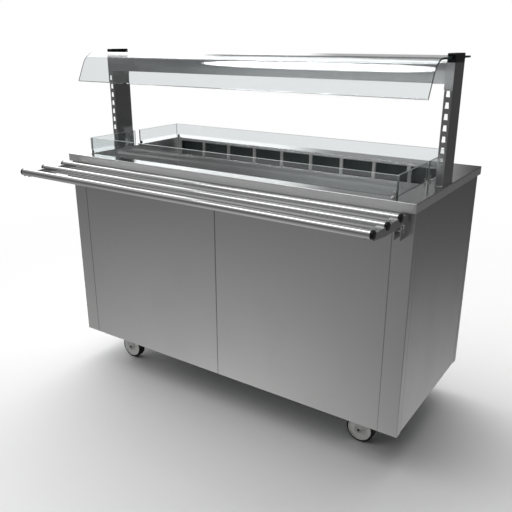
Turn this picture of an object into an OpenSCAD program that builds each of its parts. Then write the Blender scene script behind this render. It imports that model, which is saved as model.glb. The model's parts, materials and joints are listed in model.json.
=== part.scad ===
/* [Worktop] */
// Length of the worktop
top_l = 1430; // [1380:5:1500]
// Depth of the worktop
top_d = 650; // [640:5:700]
// Height of the worktop above the floor
top_h = 900; // [880:5:950]
// Depth of the worktop's turned-down edge
edge_h = 28; // [22:1:32]
// Thickness of the worktop's sheet
deck_t = 1.5; // [1:0.1:2]

/* [Body] */
// Thickness of the body's sheet
sheet = 1.5; // [1:0.1:2]
// Height of the posts' lower ends above the floor
skirt_h = 133; // [128:1:137]
// Step from the worktop's end to the end panel
end_inset = 2.5; // [2:0.1:6]
// Step from the worktop's front edge to the front panels
front_inset = 12.5; // [8:0.5:20]
// Step from the worktop's rear edge to the doors
back_inset = 29; // [27:1:34]
// Width of a corner post on the front and the rear
post_w = 65; // [55:1:80]
// Width of a corner post on the ends
post_return = 27; // [20:1:40]
// Step from the posts' lower ends up to the end panels' lower edges
panel_lift = 5; // [2:1:8]
// Visible joint between two fixed panels
seam = 1; // [0.5:0.1:2]
// Depth of a panel's folded edge
lip = 11; // [6:1:12]
// Height of the base tray
tray_h = 30; // [24:1:40]
// Thickness of the base tray's sheet
tray_t = 2; // [1.5:0.1:3]
// Width of the base tray's top flange
tray_flange = 22; // [18:1:26]

/* [Chilled well] */
// Distance from the worktop's end to the well's opening
well_side = 83; // [80:1:115]
// Distance from the worktop's front edge to the well's opening
well_front = 57; // [52:1:70]
// Distance from the worktop's rear edge to the well's opening
well_rear = 90; // [88:1:110]
// Depth of the tank below the worktop
well_h = 210; // [180:5:230]
// Thickness of the tank's sheet
tank_t = 1.2; // [1:0.1:1.5]
// Width of the tank's flange under the worktop
tank_flange = 14; // [10:1:16]
// Distance from the well's end to the air grille
grille_side = 8.5; // [8:0.5:20]
// Number of bays in the air grille
bays = 9; // [7:1:9]
// Width of a post between two bays
bay_post = 14; // [10:1:18]
// Height of the air grille
grille_h = 72; // [60:1:80]
// Height of the rails above and below the bays
grille_rail = 5; // [4:0.5:8]
// Thickness of the air grille
grille_t = 6; // [4:0.5:8]
// Step from the worktop down to the air grille
grille_drop = 6; // [5:0.5:8]
// Depth of the air duct behind the tank
duct_d = 40; // [34:1:42]
// Thickness of the insulation
foam_t = 28; // [22:1:29]
// Radius of the drain pipe
drain_r = 18; // [14:1:22]
// Length of the drain pipe under the tank
drain_l = 150; // [100:5:200]

/* [Glass upstand] */
// Height of the glass panes above the worktop
pane_h = 62; // [50:1:90]
// Thickness of the glass panes
pane_t = 6; // [5:0.5:8]
// Distance from the worktop's front edge to the rear end of the front side panes
side_split = 292; // [280:1:300]
// Gap between a front side pane and a rear side pane
split_gap = 28; // [20:1:34]
// Gap between two panes at a corner
corner_gap = 1; // [0.5:0.1:2]
// Width of a glass clip
clip_w = 10; // [6:1:14]
// Height of a glass clip
clip_h = 14; // [10:1:18]
// Length of a glass clip's foot
clip_foot = 12; // [8:1:16]
// Thickness of a glass clip
clip_t = 2; // [1.5:0.1:3]

/* [Uprights and beam] */
// Width of an upright along the counter
post_x = 24; // [22:0.5:27]
// Depth of an upright from front to back
post_y = 91; // [80:1:100]
// Step from the worktop's end to an upright
post_inset = 7; // [5:0.5:8]
// Distance from the worktop's front edge to the uprights
post_front = 239.5; // [230:0.5:245]
// Height of the uprights above the worktop
post_h = 364; // [340:1:400]
// Thickness of the uprights' sheet
post_t = 2; // [1.5:0.1:3]
// Thickness of an upright's foot plate
foot_t = 3; // [2:0.5:4]
// Step of the foot plate around an upright
foot_lip = 1.5; // [1:0.1:3]
// Number of slots in an upright
slots = 7; // [4:1:7]
// Height of a slot
slot_h = 17.5; // [14:0.5:20]
// Width of a slot at its lower end
slot_low = 12; // [9:0.5:13]
// Width of a slot at its upper end
slot_high = 9; // [6:0.5:10]
// Distance from one slot to the next
slot_pitch = 33; // [30:0.5:34]
// Height of the lowest slot above the worktop
slot_start = 70; // [60:1:74]
// Height of the beam
beam_h = 60; // [54:1:64]
// Thickness of the beam's sheet
beam_t = 1.5; // [1.2:0.1:2]
// Thickness of the beam's end plates
plate_t = 2; // [1.5:0.1:3]
// Length of the end plates below the beam
plate_drop = 16; // [14:0.5:18]
// Distance between the two screws of an end plate
screw_span = 54; // [46:1:60]
// Radius of a canopy screw
screw_r = 2.5; // [2:0.1:3]
// Radius of a canopy screw's head
screw_head_r = 4.5; // [4:0.1:5]
// Thickness of a canopy screw's head
screw_head_t = 2.5; // [2:0.1:3]
// Length of a canopy screw
screw_l = 16; // [12:1:18]

/* [Canopy] */
// Height of a cap above its upright
cap_h = 26; // [24:0.5:30]
// Radius of a cap's upper corners
cap_r = 5; // [2:0.5:6]
// Height of the canopy glass's underside above the uprights
canopy_lift = 10; // [8:0.5:12]
// Thickness of the canopy glass
canopy_t = 6; // [5:0.5:6]
// Distance from an upright's outer face to the glass's end
canopy_inset = 10.75; // [10:0.25:13]
// Distance from the uprights' front back to the glass's rear edge
canopy_back = 186; // [150:1:220]
// Distance from the uprights' front forward to the start of the bend
canopy_flat = 74.5; // [60:0.5:90]
// Outer radius of the bend
canopy_r = 75; // [50:1:90]
// Angle of the bend in degrees
canopy_bend = 64.5; // [50:0.5:75]
// Length of the straight part below the bend
canopy_drop = 70; // [50:1:90]

/* [Tray slide] */
// Outer diameter of a tube
tube_d = 25; // [22:0.5:27]
// Wall of a tube
tube_t = 1.5; // [1:0.1:2]
// Distance from the worktop's end to the tray slide's end
slide_inset = 20; // [15:1:40]
// Distance from the worktop's front edge to the first tube's centre
tube_first = 48.5; // [48:0.5:55]
// Distance between two tubes
tube_pitch = 91; // [80:1:100]
// Depth of the tubes' centres below the worktop
tube_drop = 32; // [32:0.5:36]
// Length of a plug outside its tube
plug_l = 9; // [6:0.5:12]
// Length of a plug inside its tube
plug_in = 15; // [10:1:20]
// Radius of a plug's outer edge
plug_round = 3; // [1:0.5:4]
// Step from the slide's end to an arm
arm_inset = 3; // [2:0.5:4]
// Width of an arm
arm_w = 26; // [24:0.5:28]
// Thickness of an arm's sheet
arm_t = 2.5; // [2:0.1:3]
// Depth of the arm's upper face below the worktop
arm_drop = 30; // [30:0.5:33]
// Height of an arm near the body
arm_h = 27; // [24:0.5:28]
// Height of an arm at its tip
arm_tip_h = 18.5; // [17:0.5:20]
// Distance from the worktop's front edge to the start of the arm's taper
arm_taper = 150; // [120:1:170]
// Distance from the worktop's front edge to the arm's rear end
arm_rear = 2; // [1.5:0.5:5]
// Radius of the arm's upper rear corner
arm_r = 14; // [10:0.5:16]
// Radius of the ear around an arm's pivot
ear_r = 11; // [10:0.5:11]
// Radius of a fixing hole in an arm
hole_r = 3; // [2:0.1:4]
// Distance from the worktop's front edge to the pivot
pivot_front = 26; // [26:0.5:28]
// Depth of the pivot below the worktop
pivot_drop = 61; // [61:0.5:63]
// Radius of a pivot bolt
pivot_r = 4; // [3:0.1:5]
// Radius of a pivot bolt's head
pivot_head_r = 6.5; // [6:0.1:7]
// Thickness of a pivot bolt's head
pivot_head_t = 3; // [2.5:0.1:4]
// Depth of a wall bracket
bracket_d = 47.5; // [44:0.5:48]
// Height of a wall bracket
bracket_h = 67; // [60:0.5:70]
// Depth of a wall bracket's upper end below the worktop
bracket_drop = 34.5; // [34:0.1:36]
// Thickness of a wall bracket's sheet
bracket_t = 2.5; // [2:0.1:3]
// Radius of a stop bolt
stop_r = 3; // [2.5:0.1:3.5]
// Step from the pivot back to the stop bolt
stop_back = 8; // [7:0.5:9]
// Step from the pivot down to the stop bolt
stop_down = 16; // [15.5:0.5:20]

/* [Castors] */
// Height of a castor from the floor to the base tray
castor_h = 138; // [137:0.5:142]
// Radius of a wheel
wheel_r = 50; // [46:0.5:52]
// Width of a wheel
wheel_w = 32; // [28:0.5:34]
// Thickness of the tread
tread_t = 7; // [5:0.5:9]
// Depth of the recess in a wheel's face
dish = 2; // [1:0.5:4]
// Distance from the swivel axis to the axle
trail = 38; // [34:0.5:40]
// Radius of an axle
axle_r = 6; // [5:0.1:7]
// Thickness of a fork's legs
leg_t = 2.5; // [2:0.1:3]
// Gap between a wheel's hub and a fork's leg
leg_gap = 1.5; // [1:0.1:2]
// Radius of a leg around the axle
leg_r = 14; // [12:0.5:16]
// Length of a castor's top plate
plate_l = 104; // [96:1:110]
// Width of a castor's top plate
plate_w = 84; // [76:1:90]
// Thickness of a castor's top plate
castor_plate_t = 3; // [2.5:0.1:4]
// Radius of the swivel race
race_r = 30; // [26:0.5:32]
// Height of the swivel race
race_h = 9; // [7:0.5:10]
// Radius of the king pin
king_r = 6; // [5:0.1:7]
// Distance from the worktop's end to a swivel axis
castor_end = 130; // [120:1:140]
// Distance from the front panels to the front swivel axes
castor_front = 104.5; // [98:0.5:120]
// Distance from the doors' outer face to the rear swivel axes
castor_back = 104; // [98:0.5:120]
// Distance from the swivel axis to a brake's pivot
brake_out = 68; // [66:0.5:70]
// Height of a brake's pivot above the axle
brake_up = 58; // [57:0.5:60]
// Radius of a brake's pivot pin
brake_pin_r = 3; // [2.5:0.1:3.5]
// Length of a brake's pedal
pedal_l = 44; // [36:1:50]
// Thickness of a brake's pedal
pedal_t = 4; // [3:0.5:5]
// How far a brake's boss stands out at its sides
boss_out = 1; // [0.5:0.1:1.5]
// Width of a brake's pad
pad_w = 14; // [13:0.5:15]
// Distance from the brake pad to the tread
pad_gap = 1; // [0.8:0.1:1.2]

/* [Rear face] */
// Height of the control panel
fascia_h = 83.5; // [78:0.5:90]
// Depth of the control panel's folded edges
fascia_fold = 13; // [12:0.5:14]
// Distance from the left post to the mullion's middle
plant_w = 425; // [400:1:440]
// Width of the mullion
mullion_w = 20; // [16:1:26]
// Gap around a door
door_gap = 4; // [3.5:0.1:5]
// Thickness of a door
door_t = 14; // [12:0.5:14]
// Distance from a door's edges to its hinge axis
hinge_in = 7; // [6.5:0.1:7.5]
// Radius of a hinge pin
hinge_r = 3; // [2.5:0.1:3.5]
// Length of a hinge pin inside the door
hinge_l = 10; // [8:0.5:12]
// Length of a door's pull
pull_l = 120; // [90:5:160]
// Thickness of a door's pull
pull_t = 6; // [5:0.5:8]
// Reach of a door's pull
pull_out = 22; // [18:1:24]
// Distance from a door's free edge to its pull
pull_in = 40; // [25:1:60]
// Number of louvres
louvres = 14; // [8:1:16]
// Distance between two louvres
louvre_pitch = 30; // [26:1:32]
// Height of a louvre's opening
louvre_h = 8; // [6:0.5:10]
// Length of a louvre
louvre_l = 320; // [280:5:340]
// Height of the lowest louvre above the panel's lower edge
louvre_start = 90; // [70:1:110]
// Radius of the mains gland
gland_r = 11; // [9:0.5:13]
// Radius of the mains gland's thread
thread_r = 8; // [7:0.5:8.5]
// Length of the mains gland
gland_l = 16; // [12:1:20]
// Width of the thermostat
thermo_w = 76; // [70:1:80]
// Height of the thermostat
thermo_h = 34; // [30:1:36]
// Distance from the left post to the thermostat's middle
thermo_x = 120; // [100:1:160]
// Width of the thermostat's rim
thermo_rim = 3; // [2:0.5:4]
// Depth of the thermostat behind the control panel
thermo_d = 13; // [10:0.5:14]
// Distance from the thermostat's middle to the switch's middle
switch_x = 80; // [70:1:110]
// Width of the switch housing's rim
switch_rim = 3; // [2:0.5:4]
// Width of the rocker
rocker_w = 14; // [12:0.5:16]
// Height of the rocker
rocker_h = 22; // [20:0.5:24]
// Radius of the rocker's curved back
rocker_r = 9; // [8:0.5:10]
// Radius of the rocker's pivot
rocker_pin_r = 1.5; // [1:0.1:2]
// Tilt of the rocker at rest in degrees
rocker_tilt = 8; // [5:0.5:9]

/* [Plant] */
// Radius of the compressor
comp_r = 72; // [60:1:80]
// Height of the compressor's straight side
comp_h = 130; // [100:5:160]
// Distance from the left end panel to the compressor's axis
comp_x = 130; // [110:1:140]
// Distance from the front panel to the compressor's axis
comp_y = 250; // [200:5:270]
// Length of the condenser
cond_l = 230; // [200:5:250]
// Depth of the condenser
cond_d = 50; // [40:1:60]
// Height of the condenser
cond_h = 230; // [200:5:250]
// Pitch of the condenser's fins
fin_pitch = 16; // [12:1:24]
// Thickness of a fin
fin_t = 3; // [2:0.5:4]
// Radius of the fan
fan_r = 90; // [80:1:98]
// Width of a fan blade
blade_w = 38; // [30:1:40]
// Number of fan blades
blades = 5; // [3:1:7]
// Pitch of the fan blades in degrees
blade_pitch = 24; // [15:1:24]
// Radius of the fan motor
motor_r = 30; // [24:1:36]
// Length of the fan motor
motor_l = 50; // [40:1:60]
// Radius of the fan's shaft
shaft_r = 4; // [3:0.1:5]

/* [Fits] */
// Radial clearance of a pin that turns in a bore
run_fit = 0.05; // [0.02:0.01:0.08]
// Gap between fixed pieces that are set into each other
set_gap = 0.3; // [0.2:0.05:0.5]
// Step between the faces of a bend and of the straight part after it
seat_step = 0.02; // [0.01:0.01:0.05]

/* [Hidden] */
$fn = 48;
// Overrun of every cut
cut = 1;

// Footprint: the slide's front and the worktop's rear lie equally far from the origin
tube_r = tube_d / 2;
reach = tube_first + 2 * tube_pitch + tube_r;
front = -(top_d + reach) / 2 + reach;
back = front + top_d;

// Body
body_x = top_l / 2 - end_inset;
body_front = front + front_inset;
body_back = back - back_inset;
body_top = top_h - deck_t;
tray_z = castor_h;
tray_x = body_x - sheet;
tray_front = body_front + sheet;
tray_back = body_back - sheet;
rim_z = tray_z + tray_h;
panel_x = body_x - post_w - seam;

// Well
well_l = top_l - 2 * well_side;
well_w = top_d - well_front - well_rear;
well_x = well_l / 2;
well_y0 = front + well_front;
well_y1 = well_y0 + well_w;
tank_z = top_h - well_h;
grille_l = well_l - 2 * grille_side;
bay_pitch = (grille_l - bay_post) / bays;
grille_z1 = top_h - grille_drop;
grille_z0 = grille_z1 - grille_h;
duct_x = grille_l / 2 + tank_t + set_gap;
duct_y = well_y1 + tank_t;
foam_z = tank_z - set_gap - foam_t;
drain_x = -well_x + foam_t + 5 * drain_r;
drain_y = (well_y0 + well_y1) / 2;
split_y0 = front + side_split;
split_y1 = split_y0 + split_gap;

// Uprights, beam and canopy
post_x1 = top_l / 2 - post_inset;
post_x0 = post_x1 - post_x;
post_y0 = front + post_front;
post_y1 = post_y0 + post_y;
post_z1 = top_h + post_h;
beam_z0 = post_z1 - beam_h;
plate_z0 = beam_z0 - plate_drop;
screw_z = beam_z0 - plate_drop / 2;
canopy_l = 2 * (post_x1 - canopy_inset);
screw_y = [(post_y0 + post_y1 - screw_span) / 2, (post_y0 + post_y1 + screw_span) / 2];
glass_z0 = post_z1 + canopy_lift;
glass_z1 = glass_z0 + canopy_t;

// Tray slide
slide_l = top_l - 2 * slide_inset;
tube_y = [for (i = [0:2]) front - tube_first - i * tube_pitch];
tube_z = top_h - tube_drop;
tube_x = slide_l / 2 - plug_l;
arm_x1 = slide_l / 2 - arm_inset;
arm_x0 = arm_x1 - arm_w;
arm_z1 = top_h - arm_drop;
arm_y1 = front - arm_rear;
arm_y0 = tube_y[2];
pivot_y = front - pivot_front;
pivot_z = top_h - pivot_drop;
bracket_x0 = arm_x0 + arm_t + set_gap;
bracket_x1 = arm_x1 - arm_t - set_gap;
bracket_y0 = body_front - bracket_d;
bracket_z1 = top_h - bracket_drop;
bracket_z0 = bracket_z1 - bracket_h;
stop_y = pivot_y + stop_back;
stop_z = pivot_z - stop_down;

// Castors: left to right, front then rear, with the direction in which each trails
castor_x = top_l / 2 - castor_end;
castors = [
    [-castor_x, body_front + castor_front, 0],
    [castor_x, body_front + castor_front, 180],
    [-castor_x, body_back - castor_back, 90],
    [castor_x, body_back - castor_back, 90]];
castor_plate_z = castor_h - castor_plate_t;
crown_z = castor_plate_z - race_h;
leg_in = wheel_w / 2 + leg_gap;
leg_out = leg_in + leg_t;
brake_z = wheel_r + brake_up;
king_end = crown_z - leg_t - leg_gap;

// Rear face
fascia_z = body_top - fascia_h;
door_z0 = rim_z + door_gap - sheet;
door_z1 = fascia_z - door_gap + sheet;
mullion_x = -panel_x + plant_w;
door_x0 = mullion_x + mullion_w / 2 + door_gap;
door_x1 = panel_x + seam - door_gap;
door_w = (door_x1 - door_x0 - door_gap) / 2;
hinge_y = body_back - hinge_in;
hinge_x = [door_x0 + hinge_in, door_x1 - hinge_in];
control_z = fascia_z + fascia_h / 2;
thermo_mid = -panel_x + thermo_x;
switch_mid = thermo_mid + switch_x;

// Plant
cond_x = -panel_x + plant_w / 2;
cond_y1 = body_back - sheet - tray_flange - set_gap;
cond_z = tray_z + tray_t;
fan_y = cond_y1 - cond_d - shaft_r;
fan_z = cond_z + cond_h / 2;

// A box between two corners
module box(low, high) {
    translate(low) cube(high - low);
}

// A round bar along the counter
module bar_x(r, x0, x1, y, z) {
    translate([x0, y, z]) rotate([0, 90, 0]) cylinder(r = r, h = x1 - x0);
}

// A round bar from front to back
module bar_y(r, y0, y1, x, z) {
    translate([x, y0, z]) rotate([-90, 0, 0]) cylinder(r = r, h = y1 - y0);
}

// An outline in Y and Z, drawn out along the counter
module along_x(x0, x1) {
    translate([x0, 0, 0]) rotate([90, 0, 90]) linear_extrude(x1 - x0) children();
}

// Mirrors its children for the left side
module side(s) {
    mirror([s < 0 ? 1 : 0, 0, 0]) children();
}

// Base tray: a folded floor with a flange turned in all round
module base_tray() {
    color("#8f9192") difference() {
        box([-tray_x, tray_front, tray_z], [tray_x, tray_back, rim_z]);
        box([-tray_x + tray_t, tray_front + tray_t, tray_z + tray_t],
            [tray_x - tray_t, tray_back - tray_t, rim_z - tray_t]);
        box([-tray_x + tray_flange, tray_front + tray_flange, tray_z + tray_t],
            [tray_x - tray_flange, tray_back - tray_flange, rim_z + cut]);
    }
}

// Corner post: a folded angle; y is its outer face and d its way in
module corner_post(y, d) {
    translate([0, 0, skirt_h]) linear_extrude(body_top - skirt_h)
        polygon([[body_x, y], [body_x - post_w, y], [body_x - post_w, y + d * sheet],
            [body_x - sheet, y + d * sheet], [body_x - sheet, y + d * post_return],
            [body_x, y + d * post_return]]);
}
module corner_posts() {
    color("#9a9c9d") for (s = [-1, 1]) side(s) {
        corner_post(body_front, 1);
        corner_post(body_back, -1);
    }
}

// Front panel with folded upright edges above the base tray
module front_panel(s) {
    lip_z = rim_z + seam;
    color("#9a9c9d") side(s) {
        box([seam / 2, body_front, skirt_h], [panel_x, body_front + sheet, body_top]);
        box([seam / 2, body_front, lip_z], [seam / 2 + sheet, body_front + sheet + lip, body_top]);
        box([panel_x - sheet, body_front, lip_z], [panel_x, body_front + sheet + lip, body_top]);
    }
}

// End panel with folded upright edges above the base tray
module end_panel(s) {
    lip_z = rim_z + seam;
    y0 = body_front + post_return + seam;
    y1 = body_back - post_return - seam;
    color("#8c8e8f") side(s) {
        box([body_x - sheet, y0, skirt_h + panel_lift], [body_x, y1, body_top]);
        box([body_x - sheet - lip, y0, lip_z], [body_x, y0 + sheet, body_top]);
        box([body_x - sheet - lip, y1 - sheet, lip_z], [body_x, y1, body_top]);
    }
}

// Bulkhead between the plant and the cupboard, with the mullion on its rear edge
module bulkhead() {
    color("#9a9c9d") {
        box([mullion_x - sheet / 2, tray_front, rim_z],
            [mullion_x + sheet / 2, body_back - sheet, foam_z - set_gap]);
        box([mullion_x - mullion_w / 2, body_back - sheet, rim_z],
            [mullion_x + mullion_w / 2, body_back, fascia_z]);
    }
}

// Worktop: a sheet with its edges turned down and an opening for the well
module worktop() {
    color("#b9bbbc") difference() {
        box([-top_l / 2, front, top_h - edge_h], [top_l / 2, back, top_h]);
        box([-top_l / 2 + deck_t, front + deck_t, top_h - edge_h - cut],
            [top_l / 2 - deck_t, back - deck_t, body_top]);
        box([-well_x, well_y0, body_top - cut], [well_x, well_y1, top_h + cut]);
    }
}

// Well tank: an open box hung under the worktop, with a window for the air grille
module well_tank() {
    color("#a9abac") difference() {
        union() {
            box([-well_x - tank_t, well_y0 - tank_t, tank_z],
                [well_x + tank_t, well_y1 + tank_t, body_top]);
            box([-well_x - tank_flange, well_y0 - tank_flange, body_top - tank_t],
                [well_x + tank_flange, well_y1 + tank_flange, body_top]);
        }
        box([-well_x, well_y0, tank_z + tank_t], [well_x, well_y1, body_top + cut]);
        box([-grille_l / 2 - set_gap, well_y1 - cut, grille_z0],
            [grille_l / 2 + set_gap, well_y1 + tank_t + cut, grille_z1 + set_gap]);
        translate([drain_x, drain_y, tank_z - cut]) cylinder(r = drain_r, h = tank_t + cut + cut);
    }
}

// Insulation under, before and beside the tank
module well_insulation() {
    low = [well_x + tank_t + set_gap, well_y0 - tank_t - set_gap, tank_z - set_gap];
    wall_z = body_top - tank_t - set_gap;
    color("#e8e2c8") difference() {
        box([-low[0] - foam_t, low[1] - foam_t, foam_z], [low[0] + foam_t, well_y1, wall_z]);
        box([-low[0], low[1], low[2]], [low[0], well_y1 + cut, wall_z + cut]);
        translate([drain_x, drain_y, foam_z - cut])
            cylinder(r = drain_r + tank_t + set_gap, h = foam_t + cut + cut);
    }
}

// Air duct behind the tank, open towards it
module air_duct() {
    z0 = tank_z + foam_t;
    z1 = body_top - tank_t - set_gap;
    color("#3a3d3c") difference() {
        box([-duct_x - tank_t, duct_y, z0], [duct_x + tank_t, duct_y + duct_d, z1]);
        box([-duct_x, duct_y - cut, z0 + tank_t], [duct_x, duct_y + duct_d - tank_t, z1 - tank_t]);
    }
}

// Air grille: a frame of open bays in the tank's rear wall
module air_grille() {
    bay_w = bay_pitch - bay_post;
    color("#6f7170") difference() {
        box([-grille_l / 2, well_y1, grille_z0], [grille_l / 2, well_y1 + grille_t, grille_z1]);
        for (i = [0:bays - 1])
            translate([-grille_l / 2 + bay_post + i * bay_pitch, well_y1 - cut, grille_z0 + grille_rail])
                cube([bay_w, grille_t + cut + cut, grille_h - 2 * grille_rail]);
    }
}

// Evaporator: a finned block that stands on the duct's floor
module evaporator() {
    z0 = tank_z + foam_t + tank_t;
    h = grille_z0 - z0 - tank_flange;
    y0 = duct_y + grille_t;
    y1 = duct_y + duct_d - tank_t - set_gap;
    fins = floor((duct_x - foam_t) / fin_pitch);
    color("#b8a58a") {
        box([-fins * fin_pitch, y0 + fin_t, z0 + fin_t], [fins * fin_pitch, y1 - fin_t, z0 + h - fin_t]);
        for (i = [0:fins])
            translate([(2 * i - fins) * fin_pitch - fin_t / 2, y0, z0]) cube([fin_t, y1 - y0, h]);
    }
}

// Drain pipe with a flange under the tank
module drain_pipe() {
    color("#c9cbcb") translate([drain_x, drain_y, tank_z]) mirror([0, 0, 1]) difference() {
        cylinder(r = drain_r + tank_t, h = drain_l);
        translate([0, 0, -cut]) cylinder(r = drain_r, h = drain_l + cut + cut);
    }
}

// Pane across the counter; y is its face towards the well and d its way out
module cross_pane(y, d) {
    color("#cfe3df") box([-well_x - pane_t, min(y, y + d * pane_t), top_h],
        [well_x + pane_t, max(y, y + d * pane_t), top_h + pane_h]);
}

// Panes at the sides of the well: two on each side, with a gap between them
module side_glass() {
    color("#cfe3df") for (s = [-1, 1]) side(s) {
        box([well_x, well_y0 + corner_gap, top_h], [well_x + pane_t, split_y0, top_h + pane_h]);
        box([well_x, split_y1, top_h], [well_x + pane_t, well_y1 - corner_gap, top_h + pane_h]);
    }
}

// Clip: an angle that stands on the worktop against a pane's outer face
module clip() {
    box([-clip_w / 2, 0, 0], [clip_w / 2, clip_t, clip_h]);
    box([-clip_w / 2, 0, 0], [clip_w / 2, clip_foot, clip_t]);
}

// Clips at the corners of the long panes and at the inner ends of the side panes
module glass_clips() {
    x = well_x + pane_t - clip_w;
    color("#d4d6d6") for (s = [-1, 1]) side(s) {
        translate([x, well_y0 - pane_t, top_h]) rotate([0, 0, 180]) clip();
        translate([x, well_y1 + pane_t, top_h]) clip();
        for (y = [split_y0 - clip_w, split_y1 + clip_w])
            translate([well_x + pane_t, y, top_h]) rotate([0, 0, -90]) clip();
    }
}

// Upright: a folded channel that opens to the left, on a foot plate; the left one is drilled
module upright(x, drilled) {
    mid = post_x / 2;
    color("#7d7f80") difference() {
        union() {
            translate([x, post_y0, top_h]) cube([post_x, post_y, post_h]);
            translate([x - foot_lip, post_y0 - foot_lip, top_h])
                cube([post_x + 2 * foot_lip, post_y + 2 * foot_lip, foot_t]);
        }
        translate([x - foot_lip - cut, post_y0 + post_t, top_h + foot_t])
            cube([post_x - post_t + foot_lip + cut, post_y - 2 * post_t, post_h]);
        for (i = [0:slots - 1])
            translate([x + mid, post_y0 + post_t + cut, top_h + slot_start + i * slot_pitch])
                rotate([90, 0, 0]) linear_extrude(post_t + cut + cut)
                    polygon([[-slot_low / 2, 0], [slot_low / 2, 0],
                        [slot_high / 2, slot_h], [-slot_high / 2, slot_h]]);
        if (drilled) for (y = screw_y)
            bar_x(screw_r + run_fit, x + mid, x + post_x + cut, y, screw_z);
    }
}
module left_upright() {
    upright(-post_x1, true);
}
module right_upright() {
    upright(post_x0, false);
}

// Beam: a square tube with end plates that reach down to the screws
module canopy_beam() {
    color("#8b8d8e") {
        difference() {
            box([-post_x0 + plate_t, post_y0, beam_z0], [post_x0 - plate_t, post_y1, post_z1]);
            box([-post_x0, post_y0 + beam_t, beam_z0 + beam_t],
                [post_x0, post_y1 - beam_t, post_z1 - beam_t]);
        }
        for (s = [-1, 1]) side(s) difference() {
            box([post_x0 - plate_t, post_y0, plate_z0], [post_x0, post_y1, post_z1]);
            for (y = screw_y)
                bar_x(screw_r + run_fit, post_x0 - plate_t - cut, post_x0 + cut, y, screw_z);
        }
    }
}

// Cap: holds the canopy glass in a slot and plugs the upright; inner is the slot's ends
module cap(x, inner) {
    difference() {
        union() {
            along_x(x, x + post_x) {
                translate([post_y0, post_z1]) square([post_y, cap_h - cap_r]);
                translate([post_y0 + cap_r, post_z1]) square([post_y - 2 * cap_r, cap_h]);
                for (y = [post_y0 + cap_r, post_y1 - cap_r])
                    translate([y, post_z1 + cap_h - cap_r]) circle(r = cap_r);
            }
            box([x, post_y0 + post_t + set_gap, plate_z0 + set_gap],
                [x + post_x - post_t - set_gap, post_y1 - post_t - set_gap, post_z1 + cut]);
        }
        box([inner[0], post_y0 - cut, glass_z0 - set_gap],
            [inner[1], post_y1 + cut, glass_z1 + set_gap]);
        for (y = screw_y)
            bar_x(screw_r + run_fit, x - cut, x + post_x + cut, y, screw_z);
    }
}
module post_caps() {
    slot_x = canopy_l / 2 + set_gap;
    color("#111213") {
        cap(-post_x1, [-slot_x, -post_x0 + cut]);
        cap(post_x0, [post_x0 - cut, slot_x]);
    }
}

// Canopy glass: flat over the beam, bent down over the front
module canopy_glass() {
    y0 = post_y0 - canopy_flat;
    inner_r = canopy_r - canopy_t;
    sweep = 2 * canopy_r * tan(canopy_bend / 2);
    bend_fn = 240;
    ease = seat_step;
    color("#d7e8e4") along_x(-canopy_l / 2, canopy_l / 2) {
        translate([y0, glass_z0]) square([canopy_flat + canopy_back, canopy_t]);
        translate([y0, glass_z1 - canopy_r]) {
            difference() {
                intersection() {
                    circle(r = canopy_r, $fn = bend_fn);
                    rotate(90) polygon([[0, 0], [2 * canopy_r, 0], [2 * canopy_r, sweep],
                        [2 * canopy_r * cos(canopy_bend), 2 * canopy_r * sin(canopy_bend)]]);
                }
                circle(r = inner_r, $fn = bend_fn);
            }
            rotate(canopy_bend) translate([-canopy_drop, inner_r + ease])
                square([canopy_drop, canopy_t - 2 * ease]);
        }
    }
}

// Screws through the end plates into the caps
module canopy_screws() {
    x = post_x0 - plate_t;
    color("#c7c9ca") for (s = [-1, 1], y = screw_y) side(s) {
        bar_x(screw_r, x - screw_head_t / 2, x + screw_l, y, screw_z);
        bar_x(screw_head_r, x - screw_head_t, x, y, screw_z);
    }
}

// Tray tube; i counts from the body outwards
module tray_tube(i) {
    color("#9fa1a2") difference() {
        bar_x(tube_r, -tube_x, tube_x, tube_y[i], tube_z);
        bar_x(tube_r - tube_t, -tube_x - cut, tube_x + cut, tube_y[i], tube_z);
    }
}
module front_tube() {
    tray_tube(2);
}
module middle_tube() {
    tray_tube(1);
}
module rear_tube() {
    tray_tube(0);
}

// Plugs with a rounded outer edge and a spigot inside the tube
module tube_plugs() {
    spigot_r = tube_r - tube_t - set_gap;
    color("#0d0d0e") for (s = [-1, 1], y = tube_y) side(s)
        translate([tube_x, y, tube_z]) rotate([0, 90, 0]) rotate_extrude() {
            translate([0, -plug_in]) square([spigot_r, plug_in]);
            square([tube_r, plug_l - plug_round]);
            square([tube_r - plug_round, plug_l]);
            translate([tube_r - plug_round, plug_l - plug_round]) intersection() {
                circle(r = plug_round);
                square(plug_round);
            }
        }
}

// Outline of an arm's side: deep at the body, tapered to the tip, an ear at the pivot
module arm_outline() {
    difference() {
        union() {
            polygon([[arm_y1, arm_z1 - arm_h], [arm_y1, arm_z1 - arm_r],
                [arm_y1 - arm_r, arm_z1 - arm_r], [arm_y1 - arm_r, arm_z1], [arm_y0, arm_z1],
                [arm_y0, arm_z1 - arm_tip_h], [front - arm_taper, arm_z1 - arm_h]]);
            translate([arm_y1 - arm_r, arm_z1 - arm_r]) circle(r = arm_r);
            translate([pivot_y, pivot_z]) circle(r = ear_r);
        }
        translate([pivot_y, pivot_z]) circle(r = pivot_r + run_fit);
    }
}

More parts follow.
